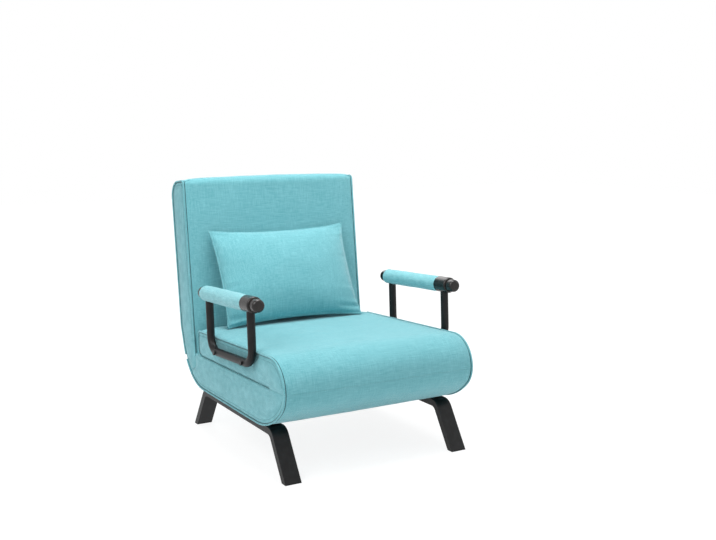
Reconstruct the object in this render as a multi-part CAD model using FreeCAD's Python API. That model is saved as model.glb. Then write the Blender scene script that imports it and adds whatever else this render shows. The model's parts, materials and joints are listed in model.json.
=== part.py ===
"""Convertible chair bed: a folding three-part mattress on a steel frame.

Millimetres, +Z up. The sitter faces -Y. The origin is the middle of the footprint on the
floor. The seat layer turns forward about the fold axis at the rolled front edge, and its
arms become the foot end's legs. The back lies down to the rear and its support leg folds out.
"""
import FreeCAD
import Part
import math
import os
from FreeCAD import Vector

# Mattress
PAD_HALF_WIDTH = 310.0
PAD_BOTTOM = 138.0          # underside above the floor
FRONT_Y = -403.0            # front-most line of the rolled front edge
SLOT_TILT = 1.3             # degrees the slot between the layers falls to the rear
SLOT_GAP = 0.6              # air between the layers
ROLL_UPPER_R = 88.0         # upper quarter of the front roll
ROLL_LOWER_R = 75.0         # first 45 degrees under the front line
ROLL_COVER = 11.2           # wadding and fabric round the roll
BEND_START_Y = 185.0        # where the underside starts to rise to the back
BEND_R = 165.0
BEND_COVER = 4.0

# Fold hinge at the front
FOLD_Y = -392.0
FOLD_Z = 258.0
FOLD_RELIEF = 0.5           # the stiff pads stop this far behind the axis
FOLD_EYE_R = 9.0
FOLD_PIN_R = 4.0
FOLD_SLEEVE_R = 7.0

# Seat layer
SEAT_REAR_Y = 215.0
SEAT_TILT = 2.5             # degrees the seat falls to the rear
SEAT_REAR_R = 14.0
SEAT_CROWN = 9.0
SEAT_TUBE = 20.0
SEAT_FRAME_FRONT = 68.0     # along the arm line, from the fold axis
SEAT_FRAME_REAR = 584.0

# Arms, laid out along a line through the fold axis
ARM_TILT = 3.2              # degrees the arms fall to the rear
ARM_OUT = 19.0              # arm's middle outside the side panels
ARM_PAD_R = 24.0
ARM_TUBE_R = 12.0
ARM_BEND_R = 44.0
ARM_BAR_N = 61.0            # bottom bar above the line through the fold axis
ARM_FLOOR_GAP = 0.5         # left under the arms when they stand as legs
ARM_UPRIGHT_FRONT = 150.0
ARM_UPRIGHT_REAR = 452.0
ARM_NOSE = 90.0
ARM_SHOULDER = 118.0
ARM_PAD_FRONT = 174.0
ARM_PAD_REAR = 476.0
ARM_TAIL = 504.0
ARM_CORE_R = 14.0
PAD_DRAW = 1.5              # the arm pads draw in this much at their ends
PAD_DRAW_LONG = 16.0
ARM_NOSE_R = 19.0
ARM_BOLTS = (202.0, 400.0)
BOLT_R = 4.0
BOLT_HEAD_R = 7.5
BOLT_HEAD = 4.0

# Backrest, laid out from its pivot: v to the rear, u up the back
BACK_Y = 276.0
BACK_Z = 214.0
BACK_LEAN = 7.0
KNUCKLE_R = 30.0            # round lower end; the front face is tangent to it
KNUCKLE_GAP = 0.7
BASE_END_GAP = 1.5          # the base pad ends this far in front of the pivot
BACK_REAR_V = 76.0
BACK_HEIGHT = 582.0
BACK_TOP_REAR_R = 50.0
BACK_TOP_FRONT_R = 12.0
BACK_PLAIN = 45.0           # flat length of the front face below its crown
BACK_CROWN = 8.0
BACK_TOP_CROWN = 9.0
BACK_PANEL = 9.4            # wadding panel over the rear of the frame
BACK_TUBE = 20.0
BACK_TUBE_V = 46.0
BACK_FRAME_LOW = 80.0
BACK_FRAME_TOP = 540.0
LOW_CROSS_UP = 65.0         # the low cross tube, clear of the sectors

# Base frame and legs
BASE_TUBE = 25.0
FRAME_INSET = 15.0          # steel frames inside the side panels
BASE_FRONT_Y = -232.0
BASE_REAR_Y = 192.0
TUBE_WALL = 1.5
LEG_INSET = 6.0
LEG_WIDE = 50.0
LEG_THICK = 20.0
LEG_WALL = 2.0
LEG_LEAN = 33.0
LEG_BEND_R = 30.0
RAIL_TOP = 137.0
FRONT_FOOT_Y = -375.7
REAR_FOOT_Y = 273.0
FOOT_PLUG = 4.0
FOOT_PLUG_DEPTH = 22.0
CROSS_RAILS_Y = (-190.0, 95.0)
CROSS_RAIL_WIDE = 40.0
CROSS_RAIL_THICK = 18.0
RAIL_BOLTS_Y = (-150.0, -20.0, 70.0, 160.0)

# Hinge plates and recliner
PLATE = 4.0
PLATE_GAP = 1.0             # between the fixed plate and the sector
DISC_R = 24.0
SECTOR_ROOT_R = 17.5
SECTOR_TIP_R = 21.5
SECTOR_TEETH = 6
SECTOR_STEP = 20.75         # degrees between teeth: four steps lay the back flat
RECLINE_PIN_R = 6.0
PIN_GAP = 0.05
PAWL_R = 8.0
PAWL_AT = (-30.0, -16.0)    # pawl pin from the back's pivot
PAWL_PIN_R = 3.0
TOOTH_ROOT_HALF = 2.4
TOOTH_TIP_HALF = 1.2
PLATE_FOOT = 44.0           # length of a hinge plate's foot along its tube
PLATE_INSET = 4.0           # the foot's end inside the tube's end
LEVER_FOOT = 50.0           # length of the fold lever's foot
SECTOR_FOOT = 56.0
PLATE_EDGE = 2.0            # plates stop this far inside the tube's edges
PIN_HEAD = 2.0
PIN_HEAD_RIM = 2.5
PIN_PLAY = 0.2
FOLD_BAR_R = 6.0            # half width of the fixed fold plate's bar
FOLD_LEVER_R = 5.0
RECLINE_BAR_R = 14.0
SECTOR_BAR_R = 9.0
HUB_ROOM = 1.5              # foam cut away round a hub
PLATE_ROOM = 1.0            # and round a plate

# Rear support leg, stowed down the rear of the back
REAR_LEG_U = 430.0
REAR_LEG_V = 93.0
REAR_LEG_X = 225.0
REAR_LEG_R = 11.0
REAR_LEG_BEND_R = 40.0
REAR_LEG_SLEEVE_R = 14.0
REAR_LEG_FLOOR_GAP = 0.5
REAR_LEG_END = 6.0          # the tube runs on this far past its pin
BRACKET_BOLT_R = 3.0
BRACKET_BOLT_X = 20.5       # bracket bolts beside the leg's middle
BRACKET_HALF_WIDE = 27.0
BRACKET_HALF_HIGH = 14.0
BRACKET_EAR = 3.0
BRACKET_EAR_R = 9.0
LEG_PIN_R = 4.0
REAR_FOOT_LONG = 40.0
REAR_FEET_X = (-130.0, 90.0)

# Webbing, piping, pillow
STRAP = 2.0
STRAP_WIDE = 50.0
PIPING_R = 2.7
PIPING_INSET = 4.0
PIPING_LIFT = 0.2
PILLOW_HALF_WIDTH = 240.0
PILLOW_HEIGHT = 318.0
PILLOW_THICK = 116.0
PILLOW_LEAN = 25.5
PILLOW_REST = 15.66         # its lower seam above the line of the seat's side edge
PILLOW_BACK_GAP = 0.37
PILLOW_DRAW = 9.0           # how far each edge draws in between the corners
GAP = 0.3                   # soft parts and their neighbours

os.makedirs("parts", exist_ok=True)

TAN_SLOT = math.tan(math.radians(SLOT_TILT))
TAN_SEAT = math.tan(math.radians(SEAT_TILT))
BACK_SIN = math.sin(math.radians(BACK_LEAN))
BACK_COS = math.cos(math.radians(BACK_LEAN))
ARM_SIN = math.sin(math.radians(ARM_TILT))
ARM_COS = math.cos(math.radians(ARM_TILT))
ARM_N = FOLD_Z - ARM_PAD_R - ARM_FLOOR_GAP           # arm's middle above the line
SET_BACK = FOLD_Y + FOLD_RELIEF - FRONT_Y            # stiff pads behind the front line
UPPER_CENTRE = (FRONT_Y + ROLL_UPPER_R, FOLD_Z)
LOWER_CENTRE = (FRONT_Y + ROLL_LOWER_R, FOLD_Z)
REAR_Y = BACK_Y + (REAR_LEG_U + REAR_LEG_END) * BACK_SIN + (REAR_LEG_V + REAR_LEG_R) * BACK_COS
CENTRE_Y = (FRONT_Y + REAR_Y) / 2
ARM_X = PAD_HALF_WIDTH + ARM_OUT
FRAME_X = PAD_HALF_WIDTH - FRAME_INSET
LEG_X = PAD_HALF_WIDTH - LEG_INSET


class Outline:
    """A closed side view outline in the plane of one x."""

    def __init__(self, x, start):
        self.x = x
        self.first = Vector(x, *start)
        self.at = self.first
        self.edges = []

    def to(self, point):
        end = Vector(self.x, *point)
        self.edges.append(Part.LineSegment(self.at, end).toShape())
        self.at = end

    def arc(self, through, point):
        end = Vector(self.x, *point)
        self.edges.append(Part.Arc(self.at, Vector(self.x, *through), end).toShape())
        self.at = end

    def bow(self, point, rise):
        """An arc that bows out to the left of its run by the rise."""
        end = Vector(self.x, *point)
        run = end - self.at
        left = Vector(0, -run.z, run.y).normalize()
        middle = (self.at + end) / 2 + left * rise
        self.edges.append(Part.Arc(self.at, middle, end).toShape())
        self.at = end

    def wire(self):
        if (self.at - self.first).Length > 1e-6:
            self.edges.append(Part.LineSegment(self.at, self.first).toShape())
        return Part.Wire(self.edges)

    def solid(self, x1):
        return Part.Face(self.wire()).extrude(Vector(x1 - self.x, 0, 0))


def save(name, shapes):
    """Write one node from a shape or a list of shapes."""
    solids = []
    for shape in shapes if isinstance(shapes, list) else [shapes]:
        solids += shape.Solids
    node = Part.makeCompound(solids) if len(solids) > 1 else solids[0].copy()
    node.translate(Vector(0, -CENTRE_Y, 0))
    node.exportStep("parts/" + name + ".step")


def box(x0, x1, y0, y1, z0, z1):
    return Part.makeBox(x1 - x0, y1 - y0, z1 - z0, Vector(x0, y0, z0))


def rod(radius, start, end):
    run = end - start
    return Part.makeCylinder(radius, run.Length, start, run)


def x_rod(radius, x0, x1, y, z):
    """A round bar along X."""
    return rod(radius, Vector(x0, y, z), Vector(x1, y, z))


def mirrored(shape):
    return shape.mirror(Vector(0, 0, 0), Vector(1, 0, 0))


def pair(shape):
    """The shape and its mirror image on the other side of the chair."""
    return [shape, mirrored(shape)]


def place(shape, y, z, tilt):
    placed = shape.copy()
    placed.rotate(Vector(0, 0, 0), Vector(1, 0, 0), -tilt)
    placed.translate(Vector(0, y, z))
    return placed


def on_arm(shape):
    return place(shape, FOLD_Y, FOLD_Z, ARM_TILT)


def on_back(shape):
    """Stand up a layout drawn with the back lying flat: x, u up the back, w = -v towards the sleeper."""
    placed = shape.copy()
    placed.rotate(Vector(0, 0, 0), Vector(1, 0, 0), 90 - BACK_LEAN)
    placed.translate(Vector(0, BACK_Y, BACK_Z))
    return placed


def arm_point(along, up):
    return (FOLD_Y + along * ARM_COS + up * ARM_SIN, FOLD_Z - along * ARM_SIN + up * ARM_COS)


def back_point(v, u):
    return (BACK_Y + v * BACK_COS + u * BACK_SIN, BACK_Z - v * BACK_SIN + u * BACK_COS)


def on_circle(centre, radius, degrees):
    angle = math.radians(degrees)
    return (centre[0] + radius * math.cos(angle), centre[1] + radius * math.sin(angle))


def slot_z(y):
    return FOLD_Z - (y - FOLD_Y) * TAN_SLOT


def seat_z(y):
    """Height of the seat surface along its side edge."""
    return FOLD_Z + ROLL_UPPER_R - (y - UPPER_CENTRE[0]) * TAN_SEAT


def split_z(y):
    """Joint between the sleeping pad and the seat pad, at the seat frame's underside."""
    return FOLD_Z + ((ARM_BAR_N - SEAT_TUBE / 2) - (y - FOLD_Y) * ARM_SIN) / ARM_COS


def bend_z(y):
    """Underside where it bends up to the back."""
    return PAD_BOTTOM + BEND_R - math.sqrt(BEND_R ** 2 - (y - BEND_START_Y) ** 2)


def square_tube(x0, x1, y0, y1, z0, z1, along, grow):
    """A square tube along X or Y; grown, it is the solid space that it fills."""
    if grow:
        return box(x0 - grow, x1 + grow, y0 - grow, y1 + grow, z0 - grow, z1 + grow)
    outer = box(x0, x1, y0, y1, z0, z1)
    in_x = -1 if along == "x" else TUBE_WALL
    in_y = -1 if along == "y" else TUBE_WALL
    inner = box(x0 + in_x, x1 - in_x, y0 + in_y, y1 - in_y, z0 + TUBE_WALL, z1 - TUBE_WALL)
    return outer.cut(inner)


def tube_frame(half_x, size, y0, y1, cross, z0, grow=0.0):
    """A welded frame: two side tubes with cross tubes between them."""
    tubes = []
    for x0 in (-half_x, half_x - size):
        tubes.append(square_tube(x0, x0 + size, y0, y1, z0, z0 + size, "y", grow))
    inner = half_x - size
    for y in cross:
        tubes.append(square_tube(-inner, inner, y, y + size, z0, z0 + size, "x", grow))
    return tubes[0].multiFuse(tubes[1:])


def webbing(half_x, y0, y1, across_from, across_to, z, grow=0.0):
    """Flat straps on a frame: five across its side tubes, three along over them."""
    straps = []
    half = STRAP_WIDE / 2 + grow
    for i in range(5):
        y = across_from + (across_to - across_from) * (i + 0.5) / 5
        straps.append(box(-half_x - grow, half_x + grow, y - half, y + half, z - grow, z + STRAP + grow))
    for i in (-1, 0, 1):
        x = i * 0.55 * half_x
        straps.append(box(x - half, x + half, y0 - grow, y1 + grow, z + STRAP - grow, z + 2 * STRAP + grow))
    return straps


def rounded_path(points, radii):
    """A wire of straight runs joined by tangent arcs; the radii are those of the inner points."""
    edges = []
    at = points[0]
    for i in range(1, len(points) - 1):
        back = (points[i - 1] - points[i]).normalize()
        ahead = (points[i + 1] - points[i]).normalize()
        half = back.getAngle(ahead) / 2
        radius = radii[i - 1]
        start = points[i] + back * (radius / math.tan(half))
        end = points[i] + ahead * (radius / math.tan(half))
        out = (back + ahead).normalize()
        middle = points[i] + out * (radius / math.sin(half) - radius)
        edges.append(Part.LineSegment(at, start).toShape())
        edges.append(Part.Arc(start, middle, end).toShape())
        at = end
    edges.append(Part.LineSegment(at, points[-1]).toShape())
    return Part.Wire(edges)


def link_plate(x0, x1, eye, eye_r, bar_r, hole_r, feet):
    """A flat lever: an eye, and a bar that widens to a foot given by its corners in side view."""
    middle = Vector(0, *eye)
    first = Vector(0, *feet[0]) - middle
    last = Vector(0, *feet[-1]) - middle
    turn = 1 if first.cross(last).x > 0 else -1
    start = middle + Vector(0, first.z, -first.y).normalize() * bar_r * turn
    end = middle - Vector(0, last.z, -last.y).normalize() * bar_r * turn
    outline = Outline(x0, (start.y, start.z))
    for foot in feet:
        outline.to(foot)
    outline.to((end.y, end.z))
    plate = outline.solid(x1).fuse(x_rod(eye_r, x0, x1, *eye))
    return plate.cut(x_rod(hole_r, x0 - 1, x1 + 1, *eye)) if hole_r else plate


def sweep(radius, path, bore=0.0):
    """A round bar or tube along a wire of straight runs and arcs that meet smoothly."""
    pieces = []
    for edge in path.OrderedEdges:
        start = edge.valueAt(edge.FirstParameter)
        heading = edge.tangentAt(edge.FirstParameter)
        section = Part.Face(Part.Wire(Part.Circle(start, heading, radius).toShape()))
        if bore:
            section = section.cut(Part.Face(Part.Wire(Part.Circle(start, heading, bore).toShape())))
        if isinstance(edge.Curve, Part.Circle):
            turn = math.degrees(edge.LastParameter - edge.FirstParameter)
            pieces.append(section.revolve(edge.Curve.Center, edge.Curve.Axis, turn))
        else:
            pieces.append(section.extrude(edge.valueAt(edge.LastParameter) - start))
    return pieces[0].multiFuse(pieces[1:]) if len(pieces) > 1 else pieces[0]


def pipe(radius, path):
    return sweep(radius, path, radius - TUBE_WALL)


def crowned(outline_at):
    """A cushion lofted across its width; outline_at(x, share) is the outline's wire."""
    stations = ((-1.0, 0.06), (-0.86, 0.55), (-0.5, 0.92), (0.0, 1.0), (0.5, 0.92), (0.86, 0.55), (1.0, 0.06))
    wires = [outline_at(at * PAD_HALF_WIDTH, share) for at, share in stations]
    return Part.makeLoft(wires, True, False)


# Cushion outlines


def base_pad_outline(x):
    low = -SLOT_GAP / 2
    radius = ROLL_LOWER_R - SET_BACK
    front = (LOWER_CENTRE[0] - radius, FOLD_Z + low)
    end_y = BACK_Y - BASE_END_GAP
    hollow = KNUCKLE_R + KNUCKLE_GAP
    pivot = (BACK_Y, BACK_Z)
    face = on_circle(pivot, hollow, 180 - BACK_LEAN)
    top_y = face[0] + (slot_z(face[0]) - face[1]) * BACK_SIN / BACK_COS
    shape = Outline(x, front)
    shape.arc(on_circle(LOWER_CENTRE, radius, 202.5), on_circle(LOWER_CENTRE, radius, 225))
    shape.to(LOWER_END)
    shape.arc(on_circle(UNDER_CENTRE, UNDER_R, 247.5), (UNDER_CENTRE[0], PAD_BOTTOM))
    shape.to((BEND_START_Y, PAD_BOTTOM))
    middle_y = (BEND_START_Y + end_y) / 2
    shape.arc((middle_y, bend_z(middle_y)), (end_y, bend_z(end_y)))
    shape.to((end_y, BACK_Z - math.sqrt(hollow ** 2 - (BACK_Y - end_y) ** 2)))
    shape.arc(on_circle(pivot, hollow, 225), face)
    shape.to((top_y, slot_z(top_y) + low))
    return shape


def sleep_pad_outline(x):
    """The seat layer's slot side, from the slot up to the seat frame."""
    radius = ROLL_UPPER_R - SET_BACK
    start = (UPPER_CENTRE[0] - radius, FOLD_Z + SLOT_GAP / 2)
    top_y = UPPER_CENTRE[0] - math.sqrt(radius ** 2 - (ARM_BAR_N - SEAT_TUBE / 2) ** 2)
    top = (top_y, split_z(top_y) - GAP)
    angle = math.degrees(math.atan2(top[1] - FOLD_Z, top[0] - UPPER_CENTRE[0]))
    shape = Outline(x, start)
    shape.to((SEAT_REAR_Y, slot_z(SEAT_REAR_Y) + SLOT_GAP / 2))
    shape.to((SEAT_REAR_Y, split_z(SEAT_REAR_Y) - GAP))
    shape.to(on_circle(UPPER_CENTRE, radius, angle))
    shape.arc(on_circle(UPPER_CENTRE, radius, (angle + 180) / 2), start)
    return shape


def seat_outline(x, share):
    """The seat pad, from the seat frame's underside to the crowned top."""
    radius = ROLL_UPPER_R - SET_BACK
    low_y = UPPER_CENTRE[0] - math.sqrt(radius ** 2 - (ARM_BAR_N - SEAT_TUBE / 2) ** 2)
    angle = math.degrees(math.atan2(split_z(low_y) - FOLD_Z, low_y - UPPER_CENTRE[0]))
    low = on_circle(UPPER_CENTRE, radius, angle)
    corner_z = seat_z(SEAT_REAR_Y)
    shape = Outline(x, (SEAT_REAR_Y, split_z(SEAT_REAR_Y)))
    shape.to((SEAT_REAR_Y, corner_z - SEAT_REAR_R))
    shape.arc((SEAT_REAR_Y - 0.293 * SEAT_REAR_R, corner_z - 0.293 * SEAT_REAR_R + 0.3),
              (SEAT_REAR_Y - SEAT_REAR_R, seat_z(SEAT_REAR_Y - SEAT_REAR_R)))
    shape.bow((UPPER_CENTRE[0], FOLD_Z + ROLL_UPPER_R), -SEAT_CROWN * share)
    shape.to((UPPER_CENTRE[0], FOLD_Z + radius))
    shape.arc(on_circle(UPPER_CENTRE, radius, (90 + angle) / 2), low)
    return shape.wire()


def back_outline(x, share):
    """The backrest, from the knuckle at its pivot round the rear and over the top."""
    pivot = (BACK_Y, BACK_Z)
    bend = (BEND_START_Y, PAD_BOTTOM + BEND_R)
    low_v = BACK_LOW_V
    steep = on_circle(bend, BEND_R, -20)
    front_v = -KNUCKLE_R
    shape = Outline(x, back_point(front_v, 0))
    shape.arc(back_point(-KNUCKLE_R * math.sqrt(0.5), -KNUCKLE_R * math.sqrt(0.5)), back_point(0, -KNUCKLE_R))
    shape.arc(back_point(KNUCKLE_R * math.sqrt(0.5), -KNUCKLE_R * math.sqrt(0.5)), back_point(KNUCKLE_R, 0))
    shape.to(back_point(low_v, 0))
    start = math.degrees(math.atan2(back_point(low_v, 0)[1] - bend[1], back_point(low_v, 0)[0] - bend[0]))
    shape.arc(on_circle(bend, BEND_R, (start - 20) / 2), steep)
    shape.to(back_point(BACK_REAR_V, BACK_REAR_LOW_U))
    shape.to(back_point(BACK_REAR_V, BACK_HEIGHT - BACK_TOP_REAR_R))
    turn = BACK_TOP_REAR_R * (1 - math.sqrt(0.5))
    shape.arc(back_point(BACK_REAR_V - turn, BACK_HEIGHT - turn),
              back_point(BACK_REAR_V - BACK_TOP_REAR_R, BACK_HEIGHT))
    shape.bow(back_point(front_v + BACK_TOP_FRONT_R, BACK_HEIGHT), -BACK_TOP_CROWN * share)
    turn = BACK_TOP_FRONT_R * (1 - math.sqrt(0.5))
    shape.arc(back_point(front_v + turn, BACK_HEIGHT - turn),
              back_point(front_v, BACK_HEIGHT - BACK_TOP_FRONT_R))
    shape.bow(back_point(front_v, BACK_PLAIN), -BACK_CROWN * share)
    shape.to(back_point(front_v, 0))
    return shape.wire()


def meets_bend(v):
    """How far a point of the back's lower edge lies outside the bend's circle."""
    y, z = back_point(v, 0)
    return math.hypot(y - BEND_START_Y, z - PAD_BOTTOM - BEND_R) - BEND_R


def low_edge_v():
    """Where the back's lower edge meets the bend, found by halving."""
    near, far = 0.0, BACK_REAR_V
    for _ in range(40):
        middle = (near + far) / 2
        if meets_bend(middle) < 0:
            near = middle
        else:
            far = middle
    return near


def rear_low_u():
    """Where the bend's last straight run, 70 degrees steep, meets the rear face."""
    y, z = on_circle((BEND_START_Y, PAD_BOTTOM + BEND_R), BEND_R, -20)
    v = (y - BACK_Y) * BACK_COS - (z - BACK_Z) * BACK_SIN
    u = (y - BACK_Y) * BACK_SIN + (z - BACK_Z) * BACK_COS
    return u + (BACK_REAR_V - v) / math.tan(math.radians(20 - BACK_LEAN))


LOWER_END = on_circle(LOWER_CENTRE, ROLL_LOWER_R, 225)
UNDER_R = (LOWER_END[1] - PAD_BOTTOM) / (1 - math.sqrt(0.5))    # 45 degrees down to the underside
UNDER_CENTRE = (LOWER_END[0] + UNDER_R * math.sqrt(0.5), PAD_BOTTOM + UNDER_R)
BACK_LOW_V = low_edge_v()
BACK_REAR_LOW_U = rear_low_u()
BEND_CENTRE = (BEND_START_Y, PAD_BOTTOM + BEND_R)


# Legs

LEAN_TAN = math.tan(math.radians(LEG_LEAN))
RAIL_Z = RAIL_TOP - LEG_THICK / 2


def leg_bar(inset):
    """One side's bent flat bar: a rail with a splayed leg at each end; inset makes its hollow."""
    x0 = LEG_X - LEG_WIDE + inset
    below = 10.0
    corners = [(FRONT_FOOT_Y - LEAN_TAN * below, -below), (FRONT_FOOT_Y + LEAN_TAN * RAIL_Z, RAIL_Z),
               (REAR_FOOT_Y - LEAN_TAN * RAIL_Z, RAIL_Z), (REAR_FOOT_Y + LEAN_TAN * below, -below)]
    path = rounded_path([Vector(x0, *corner) for corner in corners], [LEG_BEND_R, LEG_BEND_R])
    start = Vector(x0, *corners[0])
    heading = (Vector(x0, *corners[1]) - start).normalize()
    side = heading.cross(Vector(1, 0, 0)) * (LEG_THICK / 2 - inset)
    wide = Vector(LEG_WIDE - 2 * inset, 0, 0)
    section = Part.makePolygon([start + side, start - side, start - side + wide, start + side + wide,
                                start + side])
    return path.makePipeShell([section], True, False)


def leg_parts():
    bar = leg_bar(0)
    hollow = leg_bar(LEG_WALL)
    tube = bar.cut(hollow).common(box(0, 400, -600, 600, FOOT_PLUG, 200))
    for y in RAIL_BOLTS_Y:
        tube = tube.cut(rod(BOLT_R + GAP, Vector(BOLT_X, y, 0), Vector(BOLT_X, y, 200)))
    inside = hollow.common(box(0, 400, -600, 600, FOOT_PLUG, FOOT_PLUG_DEPTH))
    shoe = bar.common(box(0, 400, -600, 600, 0, FOOT_PLUG))
    return tube, inside.fuse(shoe)


def cross_rails():
    """Two flat tubes between the side rails."""
    half = LEG_X - LEG_WIDE
    z0 = RAIL_Z - CROSS_RAIL_THICK / 2
    wall = TUBE_WALL
    rails = []
    for y in CROSS_RAILS_Y:
        outer = box(-half, half, y, y + CROSS_RAIL_WIDE, z0, z0 + CROSS_RAIL_THICK)
        rails.append(outer.cut(box(-half - 1, half + 1, y + wall, y + CROSS_RAIL_WIDE - wall,
                                   z0 + wall, z0 + CROSS_RAIL_THICK - wall)))
    return rails


def rail_bolts():
    """Bolts up through the rails into the base frame."""
    bolts = []
    low = RAIL_TOP - LEG_THICK
    for y in RAIL_BOLTS_Y:
        head = rod(BOLT_HEAD_R, Vector(BOLT_X, y, low - BOLT_HEAD), Vector(BOLT_X, y, low))
        shank = rod(BOLT_R, Vector(BOLT_X, y, low), Vector(BOLT_X, y, PAD_BOTTOM + BASE_TUBE / 2))
        bolts += pair(head.fuse(shank))
    return bolts


BOLT_X = FRAME_X - BASE_TUBE / 2
leg_tube, foot_plug = leg_parts()
save("leg_frame_left", leg_tube)
save("leg_frame_right", mirrored(leg_tube))
save("foot_plugs", pair(foot_plug))
save("cross_rails", cross_rails())
save("rail_bolts", rail_bolts())


# Base: frame, webbing, dust cover, hinge plates, pad

BASE_INNER_X = FRAME_X - BASE_TUBE
BASE_PLATE_X = BASE_INNER_X - PLATE
SECTOR_X = BASE_PLATE_X - PLATE_GAP - PLATE
SEAT_ARM_X = FRAME_X
FOLD_PIN_ENDS = (BASE_PLATE_X - 2.5, SEAT_ARM_X + PLATE + 2.5)
RECLINE_PIN_ENDS = (SECTOR_X - 2.5, BASE_INNER_X + 2.5)
TUBE_LOW = PAD_BOTTOM + PLATE_EDGE
TUBE_HIGH = PAD_BOTTOM + BASE_TUBE - PLATE_EDGE
PLATE_CLEAR = PAD_BOTTOM + BASE_TUBE + 6.0


def base_frame(grow=0.0):
    cross = (BASE_FRONT_Y, (BASE_FRONT_Y + BASE_REAR_Y - BASE_TUBE) / 2, BASE_REAR_Y - BASE_TUBE)
    frame = tube_frame(FRAME_X, BASE_TUBE, BASE_FRONT_Y, BASE_REAR_Y, cross, PAD_BOTTOM, grow)
    if grow:
        return frame
    for x in (-BOLT_X, BOLT_X):
        for y in RAIL_BOLTS_Y:
            frame = frame.cut(rod(BOLT_R + GAP, Vector(x, y, PAD_BOTTOM - 5),
                                  Vector(x, y, PAD_BOTTOM + BASE_TUBE / 2)))
    return frame


def base_webbing(grow=0.0):
    return webbing(FRAME_X, BASE_FRONT_Y + 4, BASE_REAR_Y - 4, BASE_FRONT_Y + 80, BASE_REAR_Y - 80,
                   PAD_BOTTOM + BASE_TUBE, grow)


def fold_plate(grow=0.0):
    """The fixed hinge plate, from the base frame forward to the fold axis."""
    foot = BASE_FRONT_Y + BASE_TUBE + PLATE_INSET
    feet = [(foot + PLATE_FOOT, TUBE_HIGH + grow), (foot + PLATE_FOOT, TUBE_LOW), (foot, TUBE_LOW),
            (foot, PLATE_CLEAR - grow)]
    return link_plate(BASE_PLATE_X - grow, BASE_INNER_X, (FOLD_Y, FOLD_Z), FOLD_EYE_R + grow,
                      FOLD_BAR_R + grow, 0 if grow else FOLD_PIN_R + PIN_GAP, feet)


def recline_plate(grow=0.0):
    """The fixed recliner plate, from the base frame back to the back's pivot."""
    foot = BASE_REAR_Y - BASE_TUBE - PLATE_INSET
    feet = [(foot - PLATE_FOOT, TUBE_HIGH + grow), (foot - PLATE_FOOT, TUBE_LOW), (foot, TUBE_LOW),
            (foot, PLATE_CLEAR - grow)]
    plate = link_plate(BASE_PLATE_X - grow, BASE_INNER_X, (BACK_Y, BACK_Z), DISC_R + grow,
                       RECLINE_BAR_R + grow, 0 if grow else RECLINE_PIN_R + PIN_GAP, feet)
    if grow:
        return plate
    return plate.cut(x_rod(PAWL_PIN_R + PIN_GAP, BASE_PLATE_X - 1, BASE_INNER_X + 1, *PAWL_PLACE))


PAWL_PLACE = (BACK_Y + PAWL_AT[0], BACK_Z + PAWL_AT[1])


def pawl():
    """The pawl that drops between the sector's teeth, shown lifted, on its pin."""
    reach = math.hypot(*PAWL_AT) - SECTOR_TIP_R - GAP
    angle = math.degrees(math.atan2(-PAWL_AT[1], -PAWL_AT[0]))
    nose = Outline(SECTOR_X, (-2.0, -PAWL_R * 0.8))
    nose.to((reach, -1.5))
    nose.to((reach, 1.5))
    nose.to((-2.0, PAWL_R * 0.8))
    body = nose.solid(SECTOR_X + PLATE)
    body.rotate(Vector(0, 0, 0), Vector(1, 0, 0), angle)
    body.translate(Vector(0, *PAWL_PLACE))
    body = body.fuse(x_rod(PAWL_R * 0.8, SECTOR_X, SECTOR_X + PLATE, *PAWL_PLACE))
    return body.fuse(x_rod(PAWL_PIN_R, SECTOR_X, BASE_INNER_X, *PAWL_PLACE))


def headed_pin(radius, x0, x1, at):
    """A pin between its two riveted heads."""
    pin = x_rod(radius, x0 - PIN_HEAD, x1 + PIN_HEAD, *at)
    rim = radius + PIN_HEAD_RIM
    return pin.fuse([x_rod(rim, x0 - PIN_HEAD, x0, *at), x_rod(rim, x1, x1 + PIN_HEAD, *at)])


def base_pad():
    pad = base_pad_outline(-PAD_HALF_WIDTH).solid(PAD_HALF_WIDTH)
    cutters = [base_frame(GAP)] + base_webbing(GAP)
    zones = [fold_plate(PLATE_ROOM), recline_plate(PLATE_ROOM),
             x_rod(FOLD_EYE_R + HUB_ROOM, BASE_PLATE_X - 5, SEAT_ARM_X + PLATE + 5, FOLD_Y, FOLD_Z),
             x_rod(DISC_R + HUB_ROOM, SECTOR_X - 6, BASE_INNER_X + 6, BACK_Y, BACK_Z),
             x_rod(PAWL_R + 1.0, SECTOR_X - 1, BASE_INNER_X, *PAWL_PLACE)]
    for zone in zones:
        cutters += pair(zone)
    return pad.cut(cutters)


def dust_cover():
    front = UNDER_CENTRE[0] + 6
    sheet = box(-FRAME_X, FRAME_X, front, BEND_START_Y - 3, RAIL_TOP, PAD_BOTTOM)
    for x in (-BOLT_X, BOLT_X):
        for y in RAIL_BOLTS_Y:
            sheet = sheet.cut(rod(BOLT_R + GAP, Vector(x, y, 100), Vector(x, y, 200)))
    return sheet


def arc_edge(x, centre, radius, from_degrees, to_degrees):
    middle = (from_degrees + to_degrees) / 2
    points = [Vector(x, *on_circle(centre, radius, a)) for a in (from_degrees, middle, to_degrees)]
    return Part.Arc(*points).toShape()


def line_edge(x, start, end):
    return Part.LineSegment(Vector(x, *start), Vector(x, *end)).toShape()


PIPING_X = PAD_HALF_WIDTH + PIPING_LIFT + PIPING_R
BEND_INNER_R = BEND_R - BEND_COVER
BEND_FROM = -math.degrees(math.acos((BACK_Y - BASE_END_GAP + GAP - BEND_START_Y) / BEND_INNER_R))
BEND_TO = math.degrees(math.atan2(back_point(BACK_LOW_V, 0)[1] - BEND_CENTRE[1],
                                  back_point(BACK_LOW_V, 0)[0] - BEND_CENTRE[0]))


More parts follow.
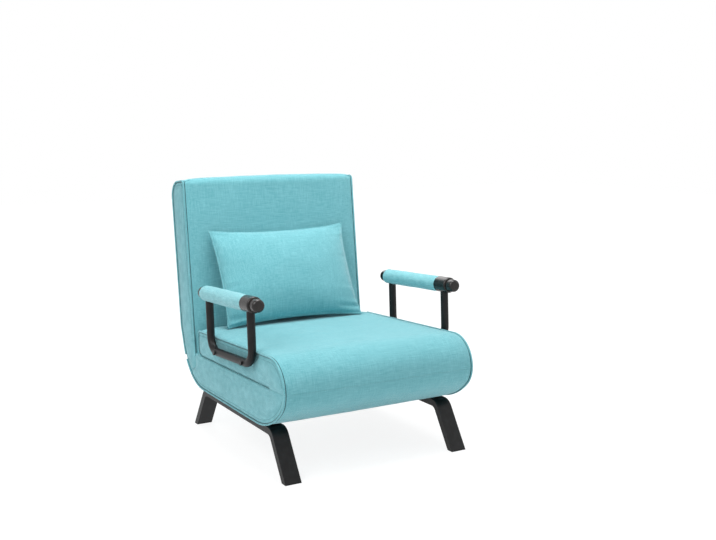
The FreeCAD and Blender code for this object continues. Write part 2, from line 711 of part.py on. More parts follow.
def base_piping():
    """Piping round the underside's outline, on each side panel."""
    x = PIPING_X
    bottom = PAD_BOTTOM + PIPING_INSET
    edges = [arc_edge(x, UNDER_CENTRE, UNDER_R - PIPING_INSET, 225, 270),
             line_edge(x, (UNDER_CENTRE[0], bottom), (BEND_START_Y, bottom)),
             arc_edge(x, BEND_CENTRE, BEND_R - PIPING_INSET, -90, BEND_FROM)]
    return sweep(PIPING_R, Part.Wire(edges))


def front_cover():
    """Wadding and fabric round the rolled front edge, across the fold."""
    upper = ROLL_UPPER_R - ROLL_COVER
    lower = ROLL_LOWER_R - ROLL_COVER
    cover = Outline(-PAD_HALF_WIDTH, on_circle(UPPER_CENTRE, ROLL_UPPER_R, 90.3))
    cover.arc(on_circle(UPPER_CENTRE, ROLL_UPPER_R, 135), (FRONT_Y, FOLD_Z))
    cover.arc(on_circle(LOWER_CENTRE, ROLL_LOWER_R, 202), on_circle(LOWER_CENTRE, ROLL_LOWER_R, 224.7))
    cover.to(on_circle(LOWER_CENTRE, lower, 224.7))
    cover.arc(on_circle(LOWER_CENTRE, lower, 202), (FRONT_Y + ROLL_COVER, FOLD_Z))
    cover.arc(on_circle(UPPER_CENTRE, upper, 135), on_circle(UPPER_CENTRE, upper, 90.3))
    solid = cover.solid(PAD_HALF_WIDTH)
    hinge = x_rod(FOLD_EYE_R + 0.6, BASE_PLATE_X - 4, SEAT_ARM_X + PLATE + 4, FOLD_Y, FOLD_Z)
    return solid.cut(pair(hinge))


def front_piping():
    x = PIPING_X
    edges = [arc_edge(x, UPPER_CENTRE, ROLL_UPPER_R - PIPING_INSET, 90, 180),
             arc_edge(x, LOWER_CENTRE, ROLL_LOWER_R - PIPING_INSET, 180, 225)]
    return sweep(PIPING_R, Part.Wire(edges))


def rear_cover():
    """Fabric across the outside of the bend between the base and the back."""
    start = BEND_FROM
    end = BEND_TO - math.degrees(BEND_COVER / BEND_R)
    middle = (start + end) / 2
    cover = Outline(-PAD_HALF_WIDTH, on_circle(BEND_CENTRE, BEND_R, start))
    cover.arc(on_circle(BEND_CENTRE, BEND_R, middle), on_circle(BEND_CENTRE, BEND_R, end))
    cover.to(on_circle(BEND_CENTRE, BEND_INNER_R, end))
    cover.arc(on_circle(BEND_CENTRE, BEND_INNER_R, middle), on_circle(BEND_CENTRE, BEND_INNER_R, start))
    return cover.solid(PAD_HALF_WIDTH)


fold_sleeve = x_rod(FOLD_SLEEVE_R, BASE_INNER_X + GAP, SEAT_ARM_X - GAP, FOLD_Y, FOLD_Z)
fold_sleeve = fold_sleeve.cut(x_rod(FOLD_PIN_R + PIN_GAP, 0, 400, FOLD_Y, FOLD_Z))
save("base_frame", base_frame())
save("base_webbing", base_webbing())
save("base_pad", base_pad())
save("base_dust_cover", dust_cover())
save("base_piping", pair(base_piping()))
save("fold_hinge_plates", pair(fold_plate()))
save("fold_hinge_pins", pair(headed_pin(FOLD_PIN_R, BASE_PLATE_X - PIN_PLAY,
                                        SEAT_ARM_X + PLATE + PIN_PLAY, (FOLD_Y, FOLD_Z))))
save("fold_hinge_sleeves", pair(fold_sleeve))
save("recliner_plates", pair(recline_plate()))
save("recliner_pins", pair(headed_pin(RECLINE_PIN_R, SECTOR_X - PIN_PLAY, BASE_INNER_X + PIN_PLAY,
                                       (BACK_Y, BACK_Z))))
save("recliner_pawls", pair(pawl()))
save("front_roll_cover", front_cover())
save("front_roll_piping", pair(front_piping()))
save("rear_bend_cover", rear_cover())


# Seat layer


def seat_frame(grow=0.0):
    cross = (SEAT_FRAME_FRONT, (SEAT_FRAME_FRONT + SEAT_FRAME_REAR - SEAT_TUBE) / 2, SEAT_FRAME_REAR - SEAT_TUBE)
    frame = tube_frame(FRAME_X, SEAT_TUBE, SEAT_FRAME_FRONT, SEAT_FRAME_REAR, cross,
                       ARM_BAR_N - SEAT_TUBE / 2, grow)
    if not grow:
        for a in ARM_BOLTS:
            frame = frame.cut(x_rod(BOLT_R + GAP, -400, 400, a, ARM_BAR_N))
    return on_arm(frame)


def seat_webbing(grow=0.0):
    straps = webbing(FRAME_X, SEAT_FRAME_FRONT + 4, SEAT_FRAME_REAR - 4, SEAT_FRAME_FRONT + 25,
                     SEAT_FRAME_REAR - 25, ARM_BAR_N + SEAT_TUBE / 2, grow)
    return [on_arm(strap) for strap in straps]


def fold_arm(grow=0.0):
    """The moving hinge arm, from the fold axis to the outside of the seat frame."""
    foot = SEAT_FRAME_FRONT + PLATE_INSET
    tip = foot + LEVER_FOOT + grow
    low = ARM_BAR_N - SEAT_TUBE / 2 + PLATE_EDGE - grow
    high = ARM_BAR_N + SEAT_TUBE / 2 - PLATE_EDGE + grow
    feet = [(foot, low), (tip, low), (tip, high), (foot, high)]
    return on_arm(link_plate(SEAT_ARM_X, SEAT_ARM_X + PLATE + grow, (0, 0), FOLD_EYE_R + grow,
                             FOLD_LEVER_R + grow, 0 if grow else FOLD_PIN_R + PIN_GAP, feet))


def arm_tube():
    x = ARM_X
    top = ARM_N - 4
    points = [Vector(x, ARM_UPRIGHT_FRONT, top), Vector(x, ARM_UPRIGHT_FRONT, ARM_BAR_N),
              Vector(x, ARM_UPRIGHT_REAR, ARM_BAR_N), Vector(x, ARM_UPRIGHT_REAR, top)]
    tube = pipe(ARM_TUBE_R, rounded_path(points, [ARM_BEND_R, ARM_BEND_R]))
    tube = tube.cut(arm_rod(ARM_CORE_R + PIN_GAP, ARM_PAD_FRONT, ARM_TAIL))
    for a in ARM_BOLTS:
        tube = tube.cut(x_rod(BOLT_R + GAP, 0, 400, a, ARM_BAR_N))
    return on_arm(tube)


def arm_rod(radius, start, end):
    """A round bar along the arm's middle line, in the arm's own layout."""
    return rod(radius, Vector(ARM_X, start, ARM_N), Vector(ARM_X, end, ARM_N))


def arm_core():
    core = arm_rod(ARM_CORE_R, ARM_PAD_FRONT - 10, ARM_TAIL - 12)
    return on_arm(core.cut(arm_rod(ARM_CORE_R - TUBE_WALL, 0, ARM_TAIL)))


def arm_pad():
    """A sleeve of wadding on the core tube, drawn in at its ends."""
    start = ARM_PAD_FRONT + GAP
    end = ARM_PAD_REAR - GAP
    bore = ARM_N + ARM_CORE_R + GAP
    drawn = ARM_N + ARM_PAD_R - PAD_DRAW
    profile = Outline(ARM_X, (start, bore))
    profile.to((start, drawn))
    profile.to((start + PAD_DRAW_LONG, ARM_N + ARM_PAD_R))
    profile.to((end - PAD_DRAW_LONG, ARM_N + ARM_PAD_R))
    profile.to((end, drawn))
    profile.to((end, bore))
    sleeve = Part.Face(profile.wire()).revolve(Vector(ARM_X, start, ARM_N), Vector(0, 1, 0), 360)
    upright = rod(ARM_TUBE_R + GAP, Vector(ARM_X, ARM_UPRIGHT_REAR, 0), Vector(ARM_X, ARM_UPRIGHT_REAR, ARM_N))
    return on_arm(sleeve.cut(upright))


def rounded_end(radius, start, end, round_r):
    """A round bar whose far end is rounded."""
    bar = arm_rod(radius, start, end)
    rim = [edge for edge in bar.Edges if abs(edge.CenterOfMass.y - end) < 0.01 and edge.Length > 1]
    return bar.makeFillet(round_r, rim)


def arm_caps():
    """Moulded ends: the front one is a tee over the upright, with a smaller rounded nose."""
    nose = rounded_end(ARM_NOSE_R, ARM_SHOULDER + 2, ARM_NOSE, 9)
    shoulder = rounded_end(ARM_PAD_R, ARM_PAD_FRONT, ARM_SHOULDER, 5)
    front = nose.fuse(shoulder)
    front = front.cut(arm_rod(ARM_CORE_R + PIN_GAP, ARM_PAD_FRONT - 10, ARM_PAD_FRONT + 1))
    upright = rod(ARM_TUBE_R + PIN_GAP, Vector(ARM_X, ARM_UPRIGHT_FRONT, 0),
                  Vector(ARM_X, ARM_UPRIGHT_FRONT, ARM_N - 4))
    rear = rounded_end(ARM_NOSE_R, ARM_PAD_REAR, ARM_TAIL, 9)
    rear = rear.cut(arm_rod(ARM_CORE_R + PIN_GAP, ARM_PAD_REAR - 1, ARM_TAIL - 12))
    return [on_arm(front.cut(upright)), on_arm(rear)]


def arm_bolts():
    """Bolts through the arm's bottom bar and the seat frame, each with its nut."""
    bolts = []
    head = ARM_X + ARM_TUBE_R
    nut = FRAME_X - SEAT_TUBE
    for a in ARM_BOLTS:
        bolt = x_rod(BOLT_R, nut - 5, head, a, ARM_BAR_N)
        bolt = bolt.fuse([x_rod(BOLT_HEAD_R, head, head + BOLT_HEAD, a, ARM_BAR_N),
                          x_rod(BOLT_HEAD_R, nut - 5, nut, a, ARM_BAR_N)])
        bolts += pair(on_arm(bolt))
    return bolts


def arm_spacers(grow=0.0):
    spacers = []
    for a in ARM_BOLTS:
        tube = x_rod(BOLT_R + 4 + grow, FRAME_X - grow, ARM_X - ARM_TUBE_R, a, ARM_BAR_N)
        if not grow:
            tube = tube.cut(x_rod(BOLT_R + GAP, 0, 400, a, ARM_BAR_N))
        spacers += pair(on_arm(tube))
    return spacers


def seat_pad():
    pad = crowned(seat_outline)
    cutters = [seat_frame(GAP)] + seat_webbing(GAP) + pair(fold_arm(GAP)) + arm_spacers(GAP)
    for a in ARM_BOLTS:
        cutters += pair(on_arm(x_rod(BOLT_HEAD_R + GAP, FRAME_X - SEAT_TUBE - 6, FRAME_X - SEAT_TUBE, a,
                                     ARM_BAR_N)))
    return pad.cut(cutters)


def sleep_pad():
    pad = sleep_pad_outline(-PAD_HALF_WIDTH).solid(PAD_HALF_WIDTH)
    hinge = x_rod(FOLD_EYE_R + HUB_ROOM, BASE_PLATE_X - 5, SEAT_ARM_X + PLATE + 5, FOLD_Y, FOLD_Z)
    return pad.cut([seat_frame(GAP)] + pair(hinge) + pair(fold_arm(GAP)) + pair(fold_plate(PLATE_ROOM)))


def seat_piping():
    """Piping round the seat pad's outline, on each side panel."""
    x = PIPING_X
    inset = PIPING_INSET
    rear = SEAT_REAR_Y - inset
    start = UPPER_CENTRE[0] + GAP
    points = [Vector(x, start, seat_z(start) - inset), Vector(x, rear, seat_z(rear) - inset),
              Vector(x, rear, slot_z(rear) + inset)]
    return sweep(PIPING_R, rounded_path(points, [SEAT_REAR_R - inset]))


save("seat_frame", seat_frame())
save("seat_webbing", seat_webbing())
save("seat_pad", seat_pad())
save("seat_sleep_pad", sleep_pad())
save("seat_piping", pair(seat_piping()))
save("fold_hinge_arms", pair(fold_arm()))
for side, turned in (("left", lambda shape: shape), ("right", mirrored)):
    save("arm_tube_" + side, turned(arm_tube()))
    save("arm_core_" + side, turned(arm_core()))
    save("arm_pad_" + side, turned(arm_pad()))
    save("arm_caps_" + side, [turned(cap) for cap in arm_caps()])
save("arm_bolts", arm_bolts())
save("arm_spacers", arm_spacers())


# Backrest

BACK_FRAME_W = -BACK_TUBE_V - BACK_TUBE
BACK_INNER_X = SECTOR_X + PLATE
BACK_TUBE_X = BACK_INNER_X + BACK_TUBE


def back_frame(grow=0.0):
    cross = (BACK_FRAME_LOW + LOW_CROSS_UP, REAR_LEG_U - BACK_TUBE / 2, BACK_FRAME_TOP - BACK_TUBE)
    frame = tube_frame(BACK_TUBE_X, BACK_TUBE, BACK_FRAME_LOW, BACK_FRAME_TOP, cross, BACK_FRAME_W, grow)
    if not grow:
        for x, u in bracket_bolt_places():
            frame = frame.cut(rod(BRACKET_BOLT_R + GAP, Vector(x, u, BACK_FRAME_W - 1), Vector(x, u, BACK_FRAME_W + 5)))
    return on_back(frame)


def back_webbing(grow=0.0):
    straps = webbing(BACK_TUBE_X, BACK_FRAME_LOW + 4, BACK_FRAME_TOP - 4, BACK_FRAME_LOW + 75,
                     BACK_FRAME_TOP - 25, -BACK_TUBE_V, grow)
    return [on_back(strap) for strap in straps]


def sector(grow=0.0):
    """The toothed recliner sector and its arm up to the back frame."""
    root = SECTOR_TIP_R + grow if grow else SECTOR_ROOT_R
    foot = BACK_FRAME_LOW + PLATE_INSET
    tip = foot + SECTOR_FOOT + grow
    low = BACK_FRAME_W + PLATE_EDGE - grow
    high = -BACK_TUBE_V - PLATE_EDGE + grow
    feet = [(foot, low), (tip, low), (tip, high), (foot, high)]
    plate = link_plate(SECTOR_X - grow, BACK_INNER_X, (0, 0), root, SECTOR_BAR_R + grow, 0, feet)
    if grow:
        return on_back(plate)
    pawl_angle = math.degrees(math.atan2(PAWL_AT[1], PAWL_AT[0])) - (90 - BACK_LEAN)
    for i in range(SECTOR_TEETH):
        tooth = Outline(SECTOR_X, (SECTOR_ROOT_R - 2, -TOOTH_ROOT_HALF))
        tooth.to((SECTOR_TIP_R, -TOOTH_TIP_HALF))
        tooth.to((SECTOR_TIP_R, TOOTH_TIP_HALF))
        tooth.to((SECTOR_ROOT_R - 2, TOOTH_ROOT_HALF))
        solid = tooth.solid(BACK_INNER_X)
        solid.rotate(Vector(0, 0, 0), Vector(1, 0, 0), pawl_angle + (i - 0.5) * SECTOR_STEP)
        plate = plate.fuse(solid)
    return on_back(plate.cut(x_rod(RECLINE_PIN_R + PIN_GAP, 0, 400, 0, 0)))


EAR_INNER = REAR_LEG_R + 2 * GAP


def bracket_bolt_places():
    return [(side * (REAR_LEG_X + out), REAR_LEG_U) for side in (-1, 1)
            for out in (-BRACKET_BOLT_X, BRACKET_BOLT_X)]


def rear_brackets():
    """Clevises on the back's rear that carry the folding support leg."""
    face = -BACK_REAR_V - GAP
    pieces = []
    for side in (-1, 1):
        middle = side * REAR_LEG_X
        low = REAR_LEG_U - BRACKET_HALF_HIGH
        high = REAR_LEG_U + BRACKET_HALF_HIGH
        plate = box(middle - BRACKET_HALF_WIDE, middle + BRACKET_HALF_WIDE, low, high, face - BRACKET_EAR, face)
        for ear in (middle - EAR_INNER - BRACKET_EAR, middle + EAR_INNER):
            plate = plate.fuse(box(ear, ear + BRACKET_EAR, REAR_LEG_U - BRACKET_EAR_R, REAR_LEG_U + BRACKET_EAR_R,
                                   -REAR_LEG_V, face))
            plate = plate.fuse(x_rod(BRACKET_EAR_R, ear, ear + BRACKET_EAR, REAR_LEG_U, -REAR_LEG_V))
        plate = plate.cut(x_rod(LEG_PIN_R + PIN_GAP, -400, 400, REAR_LEG_U, -REAR_LEG_V))
        for x, u in bracket_bolt_places():
            plate = plate.cut(rod(BRACKET_BOLT_R + GAP, Vector(x, u, face - 9), Vector(x, u, face + 9)))
        pieces.append(on_back(plate))
    return pieces


def bracket_bolts():
    face = -BACK_REAR_V - GAP - BRACKET_EAR
    bolts = []
    for x, u in bracket_bolt_places():
        bolt = rod(BRACKET_BOLT_R, Vector(x, u, face), Vector(x, u, BACK_FRAME_W + 4))
        head = rod(BRACKET_BOLT_R + PIN_HEAD, Vector(x, u, face - PIN_HEAD_RIM), Vector(x, u, face))
        bolts.append(on_back(bolt.fuse(head)))
    return bolts


def back_full():
    return crowned(back_outline)


def back_pad(full):
    keep = on_back(box(-400, 400, -100, 800, BACK_FRAME_W - GAP, 200))
    cutters = [back_frame(GAP)] + back_webbing(GAP)
    hub = x_rod(KNUCKLE_R + 2, SECTOR_X - 6, BASE_INNER_X + 6, BACK_Y, BACK_Z)
    cutters += pair(hub) + pair(sector(PLATE_ROOM))
    return full.common(keep).cut(cutters)


def back_panel(full):
    keep = on_back(box(-400, 400, -100, 800, -200, BACK_FRAME_W - 2 * GAP))
    holes = [on_back(rod(BRACKET_BOLT_R + GAP, Vector(x, u, -200), Vector(x, u, 0)))
             for x, u in bracket_bolt_places()]
    return full.common(keep).cut(holes)


def back_piping():
    """Piping on each side panel: up the front edge, over the top and down the rear edge."""
    x = PIPING_X
    inset = PIPING_INSET
    front = inset - KNUCKLE_R
    rear = BACK_REAR_V - inset
    top = BACK_HEIGHT - inset
    low = on_circle(BEND_CENTRE, BEND_R - inset, BEND_TO + 4)
    points = [Vector(x, *back_point(front, 14)), Vector(x, *back_point(front, top)),
              Vector(x, *back_point(rear, top)), Vector(x, *back_point(rear, BACK_REAR_LOW_U)),
              Vector(x, *low)]
    return sweep(PIPING_R, rounded_path(points, [BACK_TOP_FRONT_R - inset, BACK_TOP_REAR_R - inset, 150]))


back = back_full()
save("back_frame", back_frame())
save("back_webbing", back_webbing())
save("back_pad", back_pad(back))
save("back_rear_panel", back_panel(back))
save("back_piping", pair(back_piping()))
save("recliner_sectors", pair(sector()))
save("rear_leg_brackets", rear_brackets())
save("rear_leg_bracket_bolts", bracket_bolts())


# Rear support leg

REAR_LEG_LONG = BACK_Z - REAR_LEG_V - REAR_LEG_SLEEVE_R - REAR_LEG_FLOOR_GAP


def rear_leg():
    w = -REAR_LEG_V
    foot = REAR_LEG_U - REAR_LEG_LONG
    end = REAR_LEG_U + REAR_LEG_END
    points = [Vector(-REAR_LEG_X, end, w), Vector(-REAR_LEG_X, foot, w), Vector(REAR_LEG_X, foot, w),
              Vector(REAR_LEG_X, end, w)]
    tube = pipe(REAR_LEG_R, rounded_path(points, [REAR_LEG_BEND_R, REAR_LEG_BEND_R]))
    return on_back(tube.cut(x_rod(LEG_PIN_R + PIN_GAP, -400, 400, REAR_LEG_U, w)))


def rear_leg_feet():
    feet = []
    u = REAR_LEG_U - REAR_LEG_LONG
    for x in REAR_FEET_X:
        sleeve = x_rod(REAR_LEG_SLEEVE_R, x, x + REAR_FOOT_LONG, u, -REAR_LEG_V)
        bore = x_rod(REAR_LEG_R + PIN_GAP, x - 1, x + REAR_FOOT_LONG + 1, u, -REAR_LEG_V)
        feet.append(on_back(sleeve.cut(bore)))
    return feet


def rear_leg_pins():
    pins = []
    for side in (-1, 1):
        middle = side * REAR_LEG_X
        half = EAR_INNER + BRACKET_EAR + PIN_PLAY
        pins.append(on_back(headed_pin(LEG_PIN_R, middle - half, middle + half, (REAR_LEG_U, -REAR_LEG_V))))
    return pins


save("rear_leg_tube", rear_leg())
save("rear_leg_feet", rear_leg_feet())
save("rear_leg_pins", rear_leg_pins())


# Loose pillow

PILLOW_MIDDLE = PILLOW_HEIGHT / 2


def on_pillow(shape):
    """Lean the pillow on the seat, just clear of the backrest's crowned face."""
    lean = math.radians(PILLOW_LEAN)
    half_high = PILLOW_MIDDLE - PILLOW_DRAW
    lens_r = (half_high ** 2 + (PILLOW_THICK / 2) ** 2) / PILLOW_THICK
    turn = math.cos(lean - math.radians(BACK_LEAN))
    away = KNUCKLE_R + BACK_CROWN + PILLOW_BACK_GAP + lens_r - (lens_r - PILLOW_THICK / 2) * turn
    along = PILLOW_MIDDLE * math.sin(lean) - BACK_Y
    above = seat_z(0) + PILLOW_REST + PILLOW_MIDDLE * math.cos(lean) - BACK_Z
    y = (above * BACK_SIN - along * BACK_COS - away) / (BACK_COS + TAN_SEAT * BACK_SIN)
    z = seat_z(y) + PILLOW_REST
    return place(shape, y + PILLOW_MIDDLE * math.sin(lean), z + PILLOW_MIDDLE * math.cos(lean), PILLOW_LEAN)


def pillow():
    """A knife edged pillow: thick in the middle, thin at the seam, drawn in between the corners."""
    wires = []
    for share, full, draw in ((-1, 0.07, 0), (-0.85, 0.45, 0.5), (-0.5, 0.86, 0.9), (0, 1, 1), (0.5, 0.86, 0.9),
                              (0.85, 0.45, 0.5), (1, 0.07, 0)):
        half_high = PILLOW_MIDDLE - PILLOW_DRAW * draw
        half_thick = PILLOW_THICK / 2 * full
        lens = Outline(share * PILLOW_HALF_WIDTH, (0, -half_high))
        lens.arc((half_thick, 0), (0, half_high))
        lens.arc((-half_thick, 0), (0, -half_high))
        wires.append(lens.wire())
    return on_pillow(Part.makeLoft(wires, True, False))


def pillow_piping():
    """Piping along the pillow's four seams."""
    off = PIPING_R + GAP
    x = PILLOW_HALF_WIDTH
    pieces = []
    for side in (-1, 1):
        z = side * (PILLOW_MIDDLE + off)
        seam = Part.Arc(Vector(-x, 0, z), Vector(0, 0, z - side * PILLOW_DRAW), Vector(x, 0, z)).toShape()
        pieces.append(on_pillow(sweep(PIPING_R, Part.Wire([seam]))))
        x_off = side * (x + off)
        pieces.append(on_pillow(rod(PIPING_R, Vector(x_off, 0, -PILLOW_MIDDLE), Vector(x_off, 0, PILLOW_MIDDLE))))
    return pieces


save("pillow", pillow())
save("pillow_piping", pillow_piping())
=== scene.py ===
import json
import math
import bpy
import bmesh
import numpy as np
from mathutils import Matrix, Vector, noise
from mathutils.geometry import delaunay_2d_cdt


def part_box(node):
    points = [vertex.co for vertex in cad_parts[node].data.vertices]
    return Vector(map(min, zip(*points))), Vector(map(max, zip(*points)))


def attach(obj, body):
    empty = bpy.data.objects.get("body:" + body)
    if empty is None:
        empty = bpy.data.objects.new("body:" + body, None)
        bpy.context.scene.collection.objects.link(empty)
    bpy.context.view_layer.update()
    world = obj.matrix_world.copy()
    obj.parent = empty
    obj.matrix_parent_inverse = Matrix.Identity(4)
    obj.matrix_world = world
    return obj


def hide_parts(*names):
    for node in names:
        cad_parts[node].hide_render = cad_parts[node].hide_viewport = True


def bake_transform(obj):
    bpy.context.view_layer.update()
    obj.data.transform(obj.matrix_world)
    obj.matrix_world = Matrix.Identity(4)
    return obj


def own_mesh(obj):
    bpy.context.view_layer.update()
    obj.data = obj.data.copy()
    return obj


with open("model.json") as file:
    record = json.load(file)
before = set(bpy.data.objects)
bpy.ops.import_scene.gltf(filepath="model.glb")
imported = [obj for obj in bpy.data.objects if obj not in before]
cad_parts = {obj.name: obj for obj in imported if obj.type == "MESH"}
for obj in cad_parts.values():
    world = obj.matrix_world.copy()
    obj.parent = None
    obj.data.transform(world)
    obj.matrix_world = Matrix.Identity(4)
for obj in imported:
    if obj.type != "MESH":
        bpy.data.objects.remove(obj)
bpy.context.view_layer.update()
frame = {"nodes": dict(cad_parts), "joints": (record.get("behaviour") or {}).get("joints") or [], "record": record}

# Sizes are millimetres in the chair's side view: y to the rear, z up, x to the sitter's left.

JOINTS = {joint["name"]: joint for joint in frame["joints"]}
FOLD = [1000 * value for value in JOINTS["seat_unfold"]["pos_m"]]
PIVOT_AT = [1000 * value for value in JOINTS["back_recline"]["pos_m"]]
FOLD_Y = -392.0                         # the fold axis in the side view's own y
SHIFT_Y = FOLD[1] - FOLD_Y              # from the side view to the model's y
FOLD_Z = FOLD[2]
PIVOT = (PIVOT_AT[1] - SHIFT_Y, PIVOT_AT[2])

HALF_WIDE = 310.0
FRONT_Y = -403.0
UPPER_R = 88.0
LOWER_R = 75.0
PAD_BOTTOM = 138.0
BEND_Y = 185.0
BEND_R = 165.0
SLOT_TILT_DEGREES = 1.3
SLOT_TILT = math.tan(math.radians(SLOT_TILT_DEGREES))
SEAT_TILT = math.tan(math.radians(2.5))
SEAT_REAR_Y = 215.0
SEAT_REAR_R = 14.0
SEAT_LOW_R = 20.0
SLOT_FRONT_Y = -308.0                   # the slot in the side panel ends here
SLOT_OPEN = 2.0                         # half its opening
SLOT_TAPER = 6.0                        # length over which it closes
KNUCKLE_R = 30.0
BACK_LEAN = math.radians(7.0)
BACK_DEEP = 76.0                        # rear face behind the pivot
BACK_HIGH = 582.0
BACK_REAR_R = 50.0
BACK_FRONT_R = 12.0
BACK_PLAIN = 44.0                       # flat stretch of its front face below the crown
HOLLOW_GAP = 1.5                        # air between the back's knuckle and the base's hollow
STEEP = -20.0                           # where the bend's arc gives way to a straight run

SEAT_CROWN = 10.0
BACK_CROWN = 11.0
BASE_CROWN = 3.0
REAR_CROWN = 1.0                        # most that the back's flat rear face rises
FRONT_CROWN = 5.0                       # where the seat and the base meet at the front
CROWN_EASE = 60.0                       # length over which a crown rises from an end
SIDE_DOME = 5.0
STEP = 8.0                              # mesh spacing along an outline
CORNER_STEP = 4.0                       # along a tight curve
FINE_STEP = 3.0                         # along the seat's upper rear corner
CUSHION_GRID = 11.0                     # inside a side panel
HALVINGS = 40                           # steps of the search for a crossing

UPPER_CENTRE = (FRONT_Y + UPPER_R, FOLD_Z)
LOWER_CENTRE = (FRONT_Y + LOWER_R, FOLD_Z)
BEND_CENTRE = (BEND_Y, PAD_BOTTOM + BEND_R)


# Side view geometry

def on_circle(centre, radius, degrees):
    angle = math.radians(degrees)
    return (centre[0] + radius * math.cos(angle), centre[1] + radius * math.sin(angle))


def angle_at(centre, point):
    return math.degrees(math.atan2(point[1] - centre[1], point[0] - centre[0]))


def slot_z(y):
    return FOLD_Z - (y - FOLD_Y) * SLOT_TILT


def seat_z(y):
    return FOLD_Z + UPPER_R - (y - UPPER_CENTRE[0]) * SEAT_TILT


def on_back(v, u):
    """Side view point from its distance behind the pivot, v, and up the back, u."""
    sine, cosine = math.sin(BACK_LEAN), math.cos(BACK_LEAN)
    return (PIVOT[0] + v * cosine + u * sine, PIVOT[1] - v * sine + u * cosine)


def line(start, end):
    """Evenly spaced points from start to end."""
    count = max(1, round(math.dist(start, end) / STEP))
    return [(start[0] + (end[0] - start[0]) * i / count, start[1] + (end[1] - start[1]) * i / count)
            for i in range(count + 1)]


def arc(centre, radius, start, end, step=STEP):
    count = max(2, round(abs(math.radians(end - start)) * radius / step))
    return [on_circle(centre, radius, start + (end - start) * i / count) for i in range(count + 1)]


def joined(*runs):
    """One polyline from runs that meet end to end."""
    points = list(runs[0])
    for run in runs[1:]:
        points += run[1:]
    return points


LOWER_END = on_circle(LOWER_CENTRE, LOWER_R, 225)
UNDER_R = (LOWER_END[1] - PAD_BOTTOM) / (1 - math.sqrt(0.5))
UNDER_CENTRE = (LOWER_END[0] + UNDER_R * math.sqrt(0.5), PAD_BOTTOM + UNDER_R)
BASE_END = -math.degrees(math.acos((PIVOT[0] - BEND_Y) / BEND_R))
FRONT_LINE = (FRONT_Y, slot_z(FRONT_Y))
KNUCKLE_FRONT = -180 - math.degrees(BACK_LEAN)
KNUCKLE_REAR = -math.degrees(BACK_LEAN)


def back_low_end():
    """Where the back's lower edge meets the outer bend."""
    near, far = KNUCKLE_R, BACK_DEEP
    for _ in range(HALVINGS):
        middle = (near + far) / 2
        if math.dist(on_back(middle, 0), BEND_CENTRE) < BEND_R:
            near = middle
        else:
            far = middle
    return on_back(near, 0)


def rear_face_low():
    """How far up the back the steep run under the rear face ends."""
    y, z = on_circle(BEND_CENTRE, BEND_R, STEEP)
    v = (y - PIVOT[0]) * math.cos(BACK_LEAN) - (z - PIVOT[1]) * math.sin(BACK_LEAN)
    u = (y - PIVOT[0]) * math.sin(BACK_LEAN) + (z - PIVOT[1]) * math.cos(BACK_LEAN)
    return u + (BACK_DEEP - v) / math.tan(math.radians(-STEEP) - BACK_LEAN)


BACK_LOW = back_low_end()
BACK_LOW_ANGLE = angle_at(BEND_CENTRE, BACK_LOW)
REAR_LOW_U = rear_face_low()
BASE_LOW = on_circle(BEND_CENTRE, BEND_R, BASE_END)
KNUCKLE_LOW = on_circle(PIVOT, KNUCKLE_R, -90)
TANGENT = on_circle(PIVOT, KNUCKLE_R, KNUCKLE_FRONT)
BASE_TOP_Y = TANGENT[0] + (slot_z(TANGENT[0]) - TANGENT[1]) * math.tan(BACK_LEAN)
BASE_TOP = (BASE_TOP_Y, slot_z(BASE_TOP_Y))


def slot_edge(y, side):
    """A lip of the slot, which closes to a point at its front end; side is 1 above, -1 below."""
    opening = SLOT_OPEN * min(1.0, max(0.0, (y - SLOT_FRONT_Y) / SLOT_TAPER))
    return (y, slot_z(y) + side * opening)


def slot_run(y0, y1, side):
    return [slot_edge(y, side) for y, _ in line((y0, 0), (y1, 0))]


SEAT_REAR_CENTRE = (SEAT_REAR_Y - SEAT_REAR_R, seat_z(SEAT_REAR_Y - SEAT_REAR_R) - SEAT_REAR_R)
SEAT_LOW_CENTRE = (SEAT_REAR_Y - SEAT_LOW_R, slot_z(SEAT_REAR_Y) + SLOT_OPEN + SEAT_LOW_R)
SEAT_CORNER_ROOM = 4.0                  # the seat's flat underside starts this far past its corner
BASE_CORNER_ROOM = 6.0                  # and the base's flat top this far past its own
FRONT_CORNER = (0, 20, 45, 70, 90)      # degrees of the points round the back's upper corners
REAR_CORNER = range(0, 91, 9)

seat_outer = joined(
    arc(UPPER_CENTRE, UPPER_R, 180 - math.degrees((FRONT_LINE[1] - FOLD_Z) / UPPER_R), 90),
    line((UPPER_CENTRE[0], FOLD_Z + UPPER_R), (SEAT_REAR_CENTRE[0], SEAT_REAR_CENTRE[1] + SEAT_REAR_R)),
    arc(SEAT_REAR_CENTRE, SEAT_REAR_R, 90, 0, FINE_STEP),
    line((SEAT_REAR_Y, SEAT_REAR_CENTRE[1]), (SEAT_REAR_Y, SEAT_LOW_CENTRE[1])),
    arc(SEAT_LOW_CENTRE, SEAT_LOW_R, 0, SLOT_TILT_DEGREES - 90, CORNER_STEP))
seat_under = joined([seat_outer[-1]],
                    slot_run(seat_outer[-1][0] - SEAT_CORNER_ROOM, FRONT_Y, 1)[:-1] + [FRONT_LINE])
base_outer = joined(
    [FRONT_LINE], arc(LOWER_CENTRE, LOWER_R, 180, 225),
    arc(UNDER_CENTRE, UNDER_R, 225, 270), line((UNDER_CENTRE[0], PAD_BOTTOM), (BEND_Y, PAD_BOTTOM)),
    arc(BEND_CENTRE, BEND_R, -90, BASE_END))
knuckle_low = arc(PIVOT, KNUCKLE_R, -90, KNUCKLE_FRONT, CORNER_STEP)
knuckle_rear = arc(PIVOT, KNUCKLE_R, -90, KNUCKLE_REAR, CORNER_STEP)
